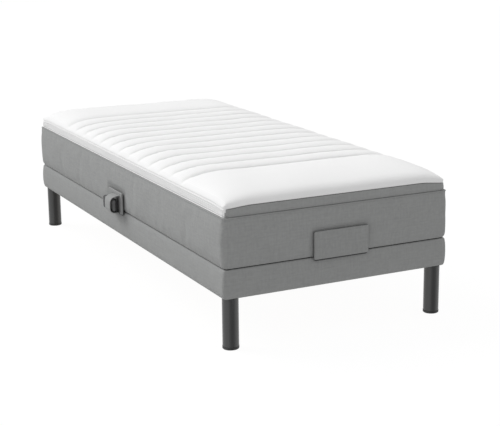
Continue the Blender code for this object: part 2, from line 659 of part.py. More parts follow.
# ---- retainers, loop and remote -----------------------------------------------------
def make_side_retainer():
    """The padded board at the mattress's left side, on a steel angle, with its loop."""
    upright = MATTRESS_X + BRACKET_GAP
    half = BRACKET_WIDTH / 2
    outer = upright + BRACKET_THICKNESS
    low = (-outer, SIDE_RETAINER_Y - half, BRACKET_BOTTOM)
    plate_top = BRACKET_BOTTOM + BRACKET_THICKNESS - GAP
    high = (-DECK_X + SIDE_BRACKET_REACH, SIDE_RETAINER_Y + half, plate_top)
    bracket = box("side_retainer_bracket", low, high, kind="black_steel")
    high = (-upright, SIDE_RETAINER_Y + half, RETAINER_BOTTOM + SIDE_RETAINER_SIZE[1] - 0.012)
    join(bracket, box("side_bracket_upright", low, high))

    face = outer + GAP + RETAINER_THICKNESS
    half = SIDE_RETAINER_SIZE[0] / 2
    low = (-face, SIDE_RETAINER_Y - half, RETAINER_BOTTOM)
    high = (-outer - GAP, SIDE_RETAINER_Y + half, RETAINER_BOTTOM + SIDE_RETAINER_SIZE[1])
    round_edges(box("side_retainer", low, high, kind="grey_fabric"), COVER_ROUND)
    make_loop(-face - GAP)
    make_remote(-face - GAP - LOOP_THICKNESS)


def make_foot_retainer():
    """The padded board at the mattress's foot, on a steel angle from the calf deck."""
    upright = MATTRESS_Y + BRACKET_GAP
    half = BRACKET_WIDTH / 2
    outer = upright + BRACKET_THICKNESS
    low = (-half, -outer, BRACKET_BOTTOM)
    high = (half, -DECK_Y + FOOT_BRACKET_REACH, BRACKET_BOTTOM + BRACKET_THICKNESS - GAP)
    bracket = box("foot_retainer_bracket", low, high, "knee_hinge", "black_steel")
    high = (half, -upright, RETAINER_BOTTOM + FOOT_RETAINER_SIZE[1] - 0.015)
    join(bracket, box("foot_bracket_upright", low, high, "knee_hinge"))

    half = FOOT_RETAINER_SIZE[0] / 2
    low = (-half, -outer - GAP - RETAINER_THICKNESS, RETAINER_BOTTOM)
    high = (half, -outer - GAP, RETAINER_BOTTOM + FOOT_RETAINER_SIZE[1])
    round_edges(box("foot_retainer", low, high, "knee_hinge", "grey_fabric"), COVER_ROUND)


def make_loop(board_x):
    """A fabric strap that leaves the board, bows out round the remote and returns to it."""
    half_height = LOOP_HEIGHT / 2
    middle_z = RETAINER_BOTTOM + half_height
    corners = 16
    squareness = 3.8  # 2 gives an ellipse, and more gives a squarer bow

    def bow(angle):
        across = math.sin(angle) ** (2 / squareness)
        up = math.copysign(abs(math.cos(angle)) ** (2 / squareness), math.cos(angle))
        return (-across * (LOOP_DEPTH - LOOP_THICKNESS), up * (half_height - LOOP_THICKNESS))

    path = [bow(math.pi * i / corners) for i in range(corners + 1)]
    path = [(0.0, half_height + 0.012)] + path
    mesh = bpy.data.meshes.new("remote_loop")
    shape = bmesh.new()
    rows = []
    for side in (-1, 1):
        y = side * LOOP_WIDTH / 2
        rows.append([shape.verts.new((x, y, z)) for x, z in path])
    for i in range(len(path) - 1):
        shape.faces.new((rows[0][i], rows[0][i + 1], rows[1][i + 1], rows[1][i]))
    bmesh.ops.recalc_face_normals(shape, faces=shape.faces)
    shape.to_mesh(mesh)
    shape.free()
    piece = place("remote_loop", mesh, (board_x, LOOP_Y, middle_z), "bed", "grey_fabric")
    solid = piece.modifiers.new("thickness", "SOLIDIFY")
    solid.thickness = LOOP_THICKNESS
    solid.offset = 1.0 if mesh.polygons[0].normal.x < 0 else -1.0
    solid.use_even_offset = True


def make_remote(strap_x):
    """The remote control, lying along the bed in its loop, with four keys near one end."""
    thick, long, tall = REMOTE_SIZE
    middle_z = RETAINER_BOTTOM + LOOP_HEIGHT / 2 - REMOTE_DROP
    high_x = strap_x - REMOTE_GAP
    low = (high_x - thick, REMOTE_Y - long / 2, middle_z - tall / 2)
    high = (high_x, REMOTE_Y + long / 2, middle_z + tall / 2)
    shell = box("remote_shell", low, high, "remote_slide", "dark_plastic")
    round_edges(shell, REMOTE_ROUND, segments=3)
    face = low[0]
    for row, direction in ((0, "up"), (1, "down")):
        for column, section in ((0, "back"), (1, "legs")):
            y = REMOTE_Y + long / 2 - BUTTON_INSET - BUTTON_PITCH[0] * column
            z = middle_z + BUTTON_PITCH[1] * (0.5 - row)
            make_button(shell, f"button_{section}_{direction}", face, y, z)


def make_button(shell, name, face, y, z):
    """A key in its pocket in the remote's face, standing a little proud."""
    half = BUTTON_SIZE / 2
    room = half + GAP
    bottom = face + BUTTON_POCKET
    low, high = (face - OVERSHOOT, y - room, z - room), (bottom, y + room, z + room)
    cut(shell, box(name + "_pocket", low, high, "remote_slide"))
    back = bottom - BUTTON_TRAVEL - GAP
    low, high = (face - BUTTON_PROUD, y - half, z - half), (back, y + half, z + half)
    key = box(name, low, high, "remote_slide", "button_rubber")
    round_edges(key, BUTTON_ROUND, segments=1)


# ---- putting it together ------------------------------------------------------------
def make_pivots():
    add_pivot("bed", (BED_X, BED_Y, 0))
    pivots["bed"] = (pivots["bed"][0], Vector((0, 0, 0)))  # places are counted from this one
    strut_y, strut_z = THIGH_HINGE_Y - STRUT_BACK, HINGE_Z - STRUT_DROP
    push_z = actuator_levels(BACK_LIFT)[0], actuator_levels(THIGH_LIFT)[0]
    add_pivot("back_hinge", (0, BACK_HINGE_Y, HINGE_Z), "bed")
    add_pivot("thigh_hinge", (0, THIGH_HINGE_Y, HINGE_Z), "bed")
    add_pivot("knee_hinge", (0, KNEE_Y, HINGE_Z), "thigh_hinge")
    add_pivot("strut_pivot", (0, strut_y, strut_z), "bed")
    add_pivot("back_push_rod_slide", (ACTUATOR_X, BACK_HINGE_Y, push_z[0]), "bed")
    add_pivot("leg_push_rod_slide", (-ACTUATOR_X, THIGH_HINGE_Y, push_z[1]), "bed")
    add_pivot("remote_slide", (-MATTRESS_X, REMOTE_Y, RETAINER_BOTTOM + LOOP_HEIGHT / 2), "bed")


def main():
    make_pivots()
    make_base()
    for end in ENDS:
        for side in SIDES:
            make_corner(end, side)
    make_decks()
    make_hinge_rods()
    for side in SIDES:
        make_seat_frame(side)
        make_strut(side)
    make_actuator("back", BACK_HINGE_Y, ACTUATOR_X, 1, BACK_LIFT)
    make_actuator("leg", THIGH_HINGE_Y, -ACTUATOR_X, -1, THIGH_LIFT)
    make_control_box()
    make_bedding()
    make_side_retainer()
    make_foot_retainer()


main()
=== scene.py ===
"""The looks of the adjustable bed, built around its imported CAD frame.

Everything is in metres in the frame's own axes: the bed lies along Y with its head end
at +Y, Z is up and the floor is z = 0. The mattress, the quilted topper, the upholstery
of the base, the two retainers, the strap and the remote's shell are made here and stand
for their plain CAD solids. Wood, steel and plastic parts are the CAD's own meshes with
procedural materials.

Most pieces start as a slab: rings of points at levels, where a level is an inset from the
outline of the piece and a height. One step of subdivision then rounds it.
"""

import math

import bmesh
import bpy
import numpy as np
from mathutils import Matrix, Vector


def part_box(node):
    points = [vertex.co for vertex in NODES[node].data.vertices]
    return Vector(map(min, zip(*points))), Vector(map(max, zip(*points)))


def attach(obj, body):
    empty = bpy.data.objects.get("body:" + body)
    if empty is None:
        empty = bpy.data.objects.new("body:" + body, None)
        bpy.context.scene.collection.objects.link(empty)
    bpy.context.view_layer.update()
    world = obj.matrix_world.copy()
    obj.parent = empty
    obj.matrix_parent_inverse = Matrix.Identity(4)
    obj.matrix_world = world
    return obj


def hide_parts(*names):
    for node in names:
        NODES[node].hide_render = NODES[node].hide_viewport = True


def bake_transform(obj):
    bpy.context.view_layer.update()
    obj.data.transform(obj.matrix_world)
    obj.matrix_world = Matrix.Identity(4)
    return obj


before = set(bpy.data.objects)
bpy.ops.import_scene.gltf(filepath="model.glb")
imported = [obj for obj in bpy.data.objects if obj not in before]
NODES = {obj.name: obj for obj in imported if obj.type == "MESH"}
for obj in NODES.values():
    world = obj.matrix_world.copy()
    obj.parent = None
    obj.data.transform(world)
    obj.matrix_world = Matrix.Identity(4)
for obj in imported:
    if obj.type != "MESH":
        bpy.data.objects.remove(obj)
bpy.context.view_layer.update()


def span(*names):
    """Lowest and highest corner of some CAD nodes together."""
    boxes = [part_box(n) for n in names]
    return np.array([b[0] for b in boxes]).min(0), np.array([b[1] for b in boxes]).max(0)


SECTIONS = ("back", "seat", "thigh", "calf")
TOPPER_LOW, TOPPER_HIGH = span(*("topper_" + s for s in SECTIONS))
MATTRESS_LOW, MATTRESS_HIGH = span(*("mattress_" + s for s in SECTIONS))
COVERS = ("base_cover_left", "base_cover_right", "base_cover_head", "base_cover_foot")
BASE_LOW, BASE_HIGH = span(*COVERS)
MIDDLE = ((TOPPER_LOW + TOPPER_HIGH) / 2)[:2]  # of the bed, across and along

# ---- the quilting, from the middle of the bed -----------------------------------------
SEAM_COUNT = 13
SEAM_PITCH = 0.1058
FIRST_SEAM = -0.632
SEAMS = [FIRST_SEAM + SEAM_PITCH * k for k in range(SEAM_COUNT)]
QUILT_DEPTH = 0.0165
QUILT_SHAPE = 0.37  # power of the rise between two seams: the less, the fuller
QUILT_FADE = 0.016  # how soon the top is full again past the first and the last seam
QUILT_SIDES = 0.075  # from this far in from the sides the seams are fully deep
GATHER = 0.0011  # of the cover along a seam
GATHER_LENGTH = 0.036

# The skins are cut at two seams, so that each piece spans one joint only.
BACK_CUT = SEAMS[6]
KNEE_CUT = SEAMS[4]
BACK_BEND = (0.030, 0.410)
THIGH_BEND = (BACK_CUT, KNEE_CUT)
KNEE_BEND = (KNEE_CUT, -0.640)
PAST_ENDS = 2.0  # a place along the bed beyond its head end

# ---- the topper ------------------------------------------------------------------------
TOPPER_SEAM = TOPPER_LOW[2] + 0.0352  # level of the seam round its top
TOPPER_CORNER = 0.018
RIM_LEVEL = (0.0013, TOPPER_SEAM + 0.0036)  # where the top starts above that seam
CROWN = 0.0493  # rise of the top above its rim
CROWN_REACH = (0.165, 0.150)  # how far in from the sides and the head end the top keeps rising
CROWN_SHAPE = 2.15
CROWN_JOIN = 1.6  # power by which the rises across and along the bed are combined
FOOT_RIM = (0.34, 0.048, 2.0)  # share, reach and shape of the foot end's full rim
FOOT_SLOPE = (0.66, 0.240, 1.7)  # and of the gentle slope behind it
CORNER_DIP = (0.0065, 0.0085)  # how far the cover draws down at the left and right corners
CORNER_DIP_REACH = 0.11
BAND_LEAN = 0.0014  # how far the bands lean in at their top
CHANNEL_DEPTH = 0.0046  # of the three channels sewn along its side bands
CHANNEL_COUNT = 3
WHITE_TURN = 0.0045  # how far the side bands' white reaches round the corners

# ---- the mattress ----------------------------------------------------------------------
MATTRESS_CORNER = 0.016
HOLLOWS = ((BACK_BEND, 0.0135), (THIGH_BEND, 0.004))  # stretches and rises of its underside
RETAINER_FLAT = 0.026  # how far past a retainer its mark on the mattress fades out
CLOTH_FRAMES = 14
CLOTH_REACH = 0.004  # how far the mattress's cover can be blown out
CLOTH_SETTINGS = {
    "quality": 5,
    "mass": 0.25,
    "tension_stiffness": 12,
    "compression_stiffness": 12,
    "shear_stiffness": 5,
    "bending_stiffness": 0.4,
    "shrink_min": -0.01,  # the cover is cut one percent larger than the foam
    "use_pressure": True,
    "uniform_pressure_force": 3.0,
}

# ---- the base, the retainers, the strap and the remote ---------------------------------
BASE_CORNER = 0.012
BOARD_THICKNESS = (0.0072, 0.0082)  # of the covered boards on the side and at the foot
BOARD_CORNER = 0.003
BOARD_BAND = 0.018
BOARD_BORDER = 0.0076  # from a board's edge to the inside of its stitched border
SHADOW_LIP_DROP = 0.0046  # how far a board's dark lip shows below it: painted shadow under the board

STRAP_THICKNESS = 0.0026
BOW_HEIGHT = 0.0365  # of the middle of the strap's bow above its lowest place
BOW_STEPS = 48
UPPER_SQUARE, LOWER_SQUARE = 3.0, 3.6  # how square the bow's halves are, 2 being round

REMOTE_CORNER = 0.0125
REMOTE_BAND = 0.018
REMOTE_SHADED_END = 0.030  # length of its near-black head end, painted shade on the end past the strap

FLOOR_REACH = 14.0  # half the floor's width

RNG_SEED = 20


# ---- shapes ----------------------------------------------------------------------------
def wander(points, wavelength, seed, terms=9):
    """Smooth unevenness of about that wavelength at some points, mostly within -1 and 1."""
    slowest, fastest = 0.6, 1.6
    usual_peak = 1.6
    rng = np.random.default_rng(seed + RNG_SEED)
    total = np.zeros(len(points))
    for _ in range(terms):
        direction = rng.normal(size=points.shape[1])
        direction /= np.linalg.norm(direction)
        rate = 2 * math.pi / wavelength * rng.uniform(slowest, fastest)
        total += np.sin(points @ direction * rate + rng.uniform(0, 2 * math.pi))
    return total * math.sqrt(2 / terms) / usual_peak


def smooth(t):
    """A soft step from 0 to 1 as t goes from 0 to 1."""
    t = np.clip(t, 0, 1)
    return t * t * (3 - 2 * t)


def spaced(low, high, step):
    """Even places from low to high, at most step apart."""
    return list(np.linspace(low, high, max(1, math.ceil((high - low) / step - 1e-6)) + 1))


def places(*stops, steps):
    """Places through the stops, each stretch divided by its own step."""
    found = [stops[0]]
    for (low, high), step in zip(zip(stops, stops[1:]), steps):
        found += spaced(low, high, step)[1:]
    return found


def graded(half, margins, outer, *middle, through=()):
    """Places from -half to half, closer at the ends: the outer steps hold out to each margin
    from an end, and the middle ones between the margins and the places in through."""
    low = [m - half for m in margins]
    high = [half - m for m in reversed(margins)]
    steps = (*outer, *middle, *reversed(outer))
    return places(-half, *low, *through, *high, half, steps=steps)


def half_size(low, high):
    return ((high - low) / 2)[:2]


def outline(flat, half, inset, corner, band):
    """Points of a square-cornered outline, drawn in by inset and with rounded corners.
    Only the outer band moves, so that rows across the middle stay straight."""
    least_radius = 0.002
    out = []
    for v, h in zip(flat.T, half):
        far = np.abs(v)
        edge = h - band
        drawn_in = edge + (far - edge) * (band - inset) / band
        out.append(np.sign(v) * np.where(far > edge, drawn_in, far))
    x, y = out
    radius = max(corner - inset, least_radius)
    dx = np.abs(x) - (half[0] - inset - radius)
    dy = np.abs(y) - (half[1] - inset - radius)
    both = (dx > 0) & (dy > 0)
    share = np.where(both, np.maximum(dx, dy) / np.maximum(np.hypot(dx, dy), 1e-9), 1)
    x = np.where(both, np.sign(x) * (half[0] - inset - radius + dx * share), x)
    y = np.where(both, np.sign(y) * (half[1] - inset - radius + dy * share), y)
    return np.column_stack([x, y])


def ring_of(nx, ny):
    """The grid places round the edge of a grid of nx by ny."""
    right = [(nx, j) for j in range(ny)]
    left = [(0, j) for j in range(ny, 0, -1)]
    return [(i, 0) for i in range(nx)] + right + [(i, ny) for i in range(nx, 0, -1)] + left


def slab(xs, ys, levels, corner, band=0.1, open_ends=False):
    """Points, faces and level numbers of a rounded slab: rings at levels (inset, z) from
    below upwards, closed below and above by a grid. With open_ends the last ring joins
    the first instead, which makes a frame."""
    nx, ny = len(xs) - 1, len(ys) - 1
    half = (xs[-1], ys[-1])

    def at_height(flat, inset, z):
        return np.column_stack([outline(flat, half, inset, corner, band), np.full(len(flat), z)])

    ring = ring_of(nx, ny)
    count = len(ring)
    flat = np.array([(xs[i], ys[j]) for i, j in ring])
    points, number, faces = [], [], []
    for k, (inset, z) in enumerate(levels):
        points.append(at_height(flat, inset, z))
        number.append(np.full(count, k))
    last = len(levels)
    pairs = [(k, (k + 1) % last) for k in range(last if open_ends else last - 1)]
    for a, b in pairs:
        for m in range(count):
            n = (m + 1) % count
            faces.append((a * count + m, a * count + n, b * count + n, b * count + m))
    if not open_ends:
        inner = [(i, j) for j in range(1, ny) for i in range(1, nx)]
        spots = np.array([(xs[i], ys[j]) for i, j in inner])
        start = last * count
        for k, (inset, z) in ((0, levels[0]), (last - 1, levels[-1])):
            points.append(at_height(spots, inset, z))
            number.append(np.full(len(inner), -1 if k == 0 else last))
            at = {place: k * count + m for m, place in enumerate(ring)}
            at.update({place: start + m for m, place in enumerate(inner)})
            start += len(inner)
            for i in range(nx):
                for j in range(ny):
                    quad = (at[i, j], at[i + 1, j], at[i + 1, j + 1], at[i, j + 1])
                    faces.append(quad if k else quad[::-1])
    return np.vstack(points), faces, np.concatenate(number)


def placed(name, mesh):
    """An object in the scene for that mesh."""
    obj = bpy.data.objects.new(name, mesh)
    bpy.context.scene.collection.objects.link(obj)
    return obj


def made(name, points, faces, materials=()):
    """An object from points and faces, smooth, in the scene."""
    mesh = bpy.data.meshes.new(name)
    mesh.from_pydata([tuple(p) for p in points], [], faces)
    mesh.shade_smooth()
    for m in materials:
        mesh.materials.append(m)
    return placed(name, mesh)


def coordinates(mesh):
    co = np.zeros(len(mesh.vertices) * 3)
    mesh.vertices.foreach_get("co", co)
    return co.reshape(-1, 3)


def set_coordinates(mesh, co):
    mesh.vertices.foreach_set("co", np.ascontiguousarray(co, np.float32).ravel())
    mesh.update()


def subdivided(obj):
    """Rounds the object's mesh by one step of smooth subdivision."""
    obj.modifiers.new("smooth", "SUBSURF").levels = 1
    graph = bpy.context.evaluated_depsgraph_get()
    rounder = obj.evaluated_get(graph)
    old = obj.data
    new = bpy.data.meshes.new_from_object(
        rounder, preserve_all_data_layers=True, depsgraph=graph
    )
    obj.modifiers.clear()
    obj.data = new
    new.name = old.name
    bpy.data.meshes.remove(old)


def lay_cloth(mesh):
    """A UV map in metres, from the side that each face looks to, for the weave to follow."""
    layer = mesh.uv_layers.new(name="Cloth")
    count = len(mesh.polygons)
    normals = np.zeros(count * 3)
    totals = np.zeros(count, np.int32)
    corners = np.zeros(len(mesh.loops), np.int32)
    mesh.polygons.foreach_get("normal", normals)
    mesh.polygons.foreach_get("loop_total", totals)
    mesh.loops.foreach_get("vertex_index", corners)
    side = np.repeat(np.abs(normals.reshape(-1, 3)).argmax(1), totals)
    co = coordinates(mesh)[corners]
    u = np.where(side == 0, co[:, 1], co[:, 0])
    v = np.where(side == 2, co[:, 1], co[:, 2])
    layer.data.foreach_set("uv", np.column_stack([u, v]).astype(np.float32).ravel())


def cut_out(whole, name, low, high):
    """The piece of a closed skin between two places along the bed, closed where it is cut."""
    shape = bmesh.new()
    shape.from_mesh(whole.data)
    outside = [f for f in shape.faces if not low <= f.calc_center_median().y - MIDDLE[1] <= high]
    bmesh.ops.delete(shape, geom=outside, context="FACES")
    edges = [e for e in shape.edges if e.is_boundary]
    for face in bmesh.ops.holes_fill(shape, edges=edges, sides=0)["faces"]:
        face.smooth = False
        for edge in face.edges:
            edge.smooth = False
    mesh = bpy.data.meshes.new(name)
    shape.to_mesh(mesh)
    shape.free()
    for m in whole.data.materials:
        mesh.materials.append(m)
    return placed(name, mesh)


def bend_along(piece):
    """Bakes the piece's placement into its mesh."""
    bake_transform(piece)


def three_pieces(whole, name):
    """Cuts a skin as long as the bed at two seams, and hides the CAD sections it stands for."""
    for part, low, high, bodies, stretch, stands_for in (
        ("back", BACK_CUT, PAST_ENDS, ("base", "back_section"), BACK_BEND, ("back",)),
        ("seat", KNEE_CUT, BACK_CUT, ("base", "thigh_section"), THIGH_BEND, ("seat", "thigh")),
        ("calf", -PAST_ENDS, KNEE_CUT, ("thigh_section", "calf_section"), KNEE_BEND, ("calf",)),
    ):
        piece = cut_out(whole, f"{name}_skin_{part}", low, high)
        bend_along(piece)
        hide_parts(*(f"{name}_{s}" for s in stands_for))
    bpy.data.objects.remove(whole)


def blown_out(obj, held):
    """Inflates the cloth of a closed mesh over its foam, with the held vertices fixed."""
    before = coordinates(obj.data)
    group = obj.vertex_groups.new(name="held")
    group.add([int(i) for i in np.flatnonzero(held)], 1.0, "REPLACE")
    cloth = obj.modifiers.new("cloth", "CLOTH")
    for key, value in CLOTH_SETTINGS.items():
        setattr(cloth.settings, key, value)
    cloth.settings.vertex_group_mass = group.name
    cloth.settings.effector_weights.gravity = 0
    cloth.point_cache.frame_start = 1
    cloth.point_cache.frame_end = CLOTH_FRAMES
    scene = bpy.context.scene
    for f in range(1, CLOTH_FRAMES + 1):
        scene.frame_set(f)
    graph = bpy.context.evaluated_depsgraph_get()
    after = coordinates(obj.evaluated_get(graph).data)
    obj.modifiers.clear()
    obj.vertex_groups.clear()
    scene.frame_set(1)
    moved = after - before
    length = np.linalg.norm(moved, axis=1)
    kept = CLOTH_REACH * np.tanh(length / CLOTH_REACH) / np.maximum(length, 1e-9)
    set_coordinates(obj.data, before + moved * kept[:, None])


# ---- materials -------------------------------------------------------------------------
MIX_SHARE, MIX_LOW, MIX_HIGH, MIX_COLOUR = 0, 6, 7, 2  # a mix node's sockets for colours


class Nodes:
    """A node tree, built a node at a time."""

    def __init__(self, tree):
        self.tree = tree

    def feed(self, socket, value):
        if isinstance(value, bpy.types.NodeSocket):
            self.tree.links.new(value, socket)
        else:
            socket.default_value = value

    def add(self, kind, inputs, **settings):
        node = self.tree.nodes.new("ShaderNode" + kind)
        for key, value in settings.items():
            setattr(node, key, value)
        for key, value in inputs.items():
            self.feed(node.inputs[key], value)
        return node

    def math(self, operation, *values):
        return self.add("Math", dict(enumerate(values)), operation=operation).outputs[0]

    def part(self, vector, axis):
        return self.add("SeparateXYZ", {0: vector}).outputs[axis]

    def ranged(self, value, start, end, low=0.0, high=1.0):
        """A number from low to high as value goes from start to end."""
        inputs = {"Value": value, "From Min": start, "From Max": end, "To Min": low, "To Max": high}
        return self.add("MapRange", inputs).outputs[0]


class Shader(Nodes):
    """A procedural material, built onto its Principled shader."""

    def __init__(self, name):
        self.material = bpy.data.materials.new(name)
        self.material.use_nodes = True
        super().__init__(self.material.node_tree)
        self.surface = next(n for n in self.tree.nodes if n.type == "BSDF_PRINCIPLED")

    def place(self):
        return self.add("TexCoord", {}).outputs["Object"]

    def cloth_place(self):
        return self.add("UVMap", {}, uv_map="Cloth").outputs[0]

    def scaled(self, vector, by):
        return self.add("Mapping", {"Vector": vector, "Scale": by}).outputs[0]

    def noise(self, vector, scale, detail=2.0, rough=0.5):
        inputs = {"Vector": vector, "Scale": scale, "Detail": detail, "Roughness": rough}
        return self.add("TexNoise", inputs).outputs[0]

    def streaks(self, vector, cells, detail, rough=0.5):
        """Noise stretched to that many cells per metre along each axis."""
        return self.noise(self.scaled(vector, cells), 1.0, detail, rough)

    def between(self, share, low, high):
        """A number or colour from low to high as share goes from 0 to 1."""
        if isinstance(low, (int, float)):
            return self.ranged(share, 0.0, 1.0, low, high)
        inputs = {MIX_SHARE: share, MIX_LOW: low, MIX_HIGH: high}
        return self.add("Mix", inputs, data_type="RGBA").outputs[MIX_COLOUR]

    def bump(self, height, distance, strength, over=None):
        inputs = {"Height": height, "Distance": distance, "Strength": strength}
        if over is not None:
            inputs["Normal"] = over
        return self.add("Bump", inputs).outputs[0]

    def finish(self, **sockets):
        for key, value in sockets.items():
            self.feed(self.surface.inputs[key.replace("_", " ")], value)
        return self.material


def rgb(r, g, b):
    return (r, g, b, 1.0)


WHITE_LIGHT = rgb(1, 1, 1)


def shade(colour, by):
    return rgb(*(min(1.0, c * by) for c in colour[:3]))


def threads(s, uv, pitch):
    """Height of a plain weave, whose threads of that pitch pass over and under each other,
    and its ribs across."""
    turn = math.pi / pitch
    across, along = (s.math("SINE", s.math("MULTIPLY", s.part(uv, k), turn)) for k in (0, 1))
    return s.math("MULTIPLY_ADD", s.math("MULTIPLY", across, along), 0.5, 0.5), across


def woven(name, colour, pitch, heather=0.16):
    """A heathered plain weave: light and dark fibres spun together, soft and slightly uneven."""
    s = Shader(name)
    uv = s.cloth_place()
    over, _ = threads(s, uv, pitch)
    warp = s.streaks(uv, (520, 70, 1), 1.0)
    weft = s.streaks(uv, (70, 520, 1), 1.0)
    fibres = s.ranged(s.math("SUBTRACT", warp, weft), -0.85, -0.15)
    spun = s.between(fibres, shade(colour, 1 - heather), shade(colour, 1 + heather))
    flecks = s.noise(uv, 260.0, 3.0, 0.7)
    flecked = s.math("MULTIPLY", s.ranged(flecks, 0.42, 0.72), 0.35)
    spun = s.between(flecked, spun, shade(colour, 1.35))
    slubs = s.math("ADD", s.streaks(uv, (150, 17, 1), 2.0), s.streaks(uv, (14, 175, 1), 2.0))
    slubs = s.ranged(s.math("ADD", slubs, s.noise(uv, 95.0)), 1.15, 1.85)
    thick = 1.1 * heather
    slubbed = s.between(slubs, shade(colour, 1 - thick), shade(colour, 1 + thick))
    worn = s.between(s.noise(uv, 9.0), shade(colour, 0.90), shade(colour, 1.08))
    normal = s.bump(over, pitch * 0.35, 0.8)
    return s.finish(
        Base_Color=s.between(0.2, s.between(0.5, spun, slubbed), worn),
        Roughness=s.between(fibres, 0.86, 0.97),
        Normal=s.bump(flecks, 0.0006, 0.6, over=normal),
        Specular_IOR_Level=0.25,
        Sheen_Weight=0.12,
        Sheen_Roughness=0.55,
        Sheen_Tint=shade(colour, 2.0),
    )


def knitted(name, colour, pitch):
    """A fine soft knit, such as a topper's washable cover: low ribs and a brushed surface."""
    s = Shader(name)
    uv = s.cloth_place()
    over, across = threads(s, uv, pitch)
    fuzz = s.noise(uv, 420.0, 3.0, 0.65)
    base = s.between(s.noise(uv, 6.0, 3.0), shade(colour, 0.975), shade(colour, 1.01))
    ribbed = s.between(s.ranged(across, -1.0, 1.0), shade(colour, 0.95), shade(colour, 1.02))
    normal = s.bump(over, pitch * 0.18, 0.6)
    return s.finish(
        Base_Color=s.between(0.4, base, ribbed),
        Roughness=s.between(fuzz, 0.85, 0.98),
        Normal=s.bump(fuzz, 0.0004, 0.5, over=normal),
        Specular_IOR_Level=0.2,
        Sheen_Weight=0.08,
        Sheen_Roughness=0.6,
    )


def painted_steel(name, colour, rough, gloss=0.5):
    """Powder-coated or painted steel: a fine orange peel with faint rubs."""
    s = Shader(name)
    at = s.place()
    rubs = s.ranged(s.streaks(at, (60, 60, 4), 4.0, 0.7), 0.62, 0.80)
    tone = s.between(s.noise(at, 7.0, 3.0), shade(colour, 0.90), shade(colour, 1.12))
    return s.finish(
        Base_Color=s.between(s.math("MULTIPLY", rubs, 0.25), tone, shade(colour, 1.9)),
        Roughness=s.between(rubs, rough, rough + 0.12),
        Normal=s.bump(s.noise(at, 900.0), 0.0002, 0.5),
        Specular_IOR_Level=gloss,
    )


def galvanised(name):
    """Zinc-plated steel: a cool bright metal with soft spangle and drawn lines."""
    s = Shader(name)
    at = s.place()
    spangle = s.add("TexVoronoi", {"Vector": at, "Scale": 160.0}).outputs["Color"]
    bright = s.add("SeparateColor", {0: spangle}).outputs[0]
    drawn = s.streaks(at, (700, 20, 700), 2.0)
    return s.finish(
        Base_Color=s.between(bright, rgb(0.50, 0.52, 0.55), rgb(0.64, 0.66, 0.69)),
        Roughness=s.between(drawn, 0.28, 0.46),
        Normal=s.bump(drawn, 0.0001, 0.4),
        Metallic=1.0,
    )


def moulded(name, colour, rough, texture=1400.0):
    """Moulded plastic or rubber with a fine spark-eroded texture and slight wear."""
    s = Shader(name)
    at = s.place()
    handled = s.ranged(s.noise(at, 55.0, 4.0, 0.6), 0.55, 0.75)
    cloud = s.noise(at, 24.0, 3.0)
    return s.finish(
        Base_Color=s.between(cloud, shade(colour, 0.88), shade(colour, 1.15)),
        Roughness=s.between(handled, rough, rough - 0.10),
        Normal=s.bump(s.noise(at, texture, 2.0, 0.6), 0.00012, 0.6),
        Specular_IOR_Level=0.5,
    )


def planed_pine(name, along):
    """Planed softwood: growth rings stretched along the board's axis, with fine fibres."""
    pale, dark = rgb(0.66, 0.49, 0.29), rgb(0.50, 0.31, 0.14)
    s = Shader(name)
    at = s.place()
    ring_cells, fibre_cells = [26.0] * 3, [700.0] * 3
    ring_cells[along], fibre_cells[along] = 1.6, 12.0
    bent = s.streaks(at, ring_cells, 3.0, 0.55)
    late = s.ranged(s.math("SINE", s.math("MULTIPLY", bent, 42.0)), -0.2, 1.0)
    fine = s.streaks(at, fibre_cells, 2.0)
    fibres = s.math("MULTIPLY", s.ranged(fine, 0.4, 0.75), 0.3)
    return s.finish(
        Base_Color=s.between(fibres, s.between(late, pale, dark), shade(dark, 0.75)),
        Roughness=s.between(fine, 0.55, 0.75),
        Normal=s.bump(fine, 0.0002, 0.5),
        Specular_IOR_Level=0.35,
    )


def plywood(name):
    """Birch plywood: a pale rotary-cut face, with thin dark and light plies on its edges."""
    ply = 0.0016
    s = Shader(name)
    at = s.place()
    bent = s.streaks(at, (9, 1.3, 9), 4.0, 0.6)
    figure = s.ranged(s.math("SINE", s.math("MULTIPLY", bent, 34.0)), -1.0, 1.0)
    figure = s.math("MULTIPLY", figure, 0.55)
    face = s.between(figure, rgb(0.60, 0.44, 0.27), rgb(0.47, 0.31, 0.17))
    turns = s.math("MULTIPLY", s.part(at, 2), math.pi / ply)
    plies = s.ranged(s.math("SINE", turns), -0.3, 0.3)
    edge = s.between(plies, rgb(0.30, 0.19, 0.10), rgb(0.58, 0.42, 0.26))
    normal = s.add("NewGeometry", {}).outputs["True Normal"]
    up = s.ranged(s.math("ABSOLUTE", s.part(normal, 2)), 0.3, 0.6)
    fine = s.streaks(at, (600, 14, 600), 2.0)
    return s.finish(
        Base_Color=s.between(up, edge, face),
        Roughness=s.between(fine, 0.5, 0.7),
        Normal=s.bump(fine, 0.0002, 0.5),
        Specular_IOR_Level=0.35,
    )


GREY = rgb(0.281, 0.285, 0.283)
cover_cloth = woven("grey_heather", shade(GREY, 1.02), 0.0022)
base_cloth = woven("grey_heather_base", GREY, 0.0022)
board_cloth = woven("grey_heather_board", shade(GREY, 0.98), 0.0020)
band_cloth = woven("grey_heather_band", shade(GREY, 1.06), 0.0018)
seam_cloth = woven("seam_heather", shade(GREY, 0.34), 0.0012)
# near-black cloth for the lip behind the retainer boards: painted shadow in the gap round them
painted_shadow_cloth = woven("painted_shadow_felt", rgb(0.050, 0.050, 0.051), 0.0012)
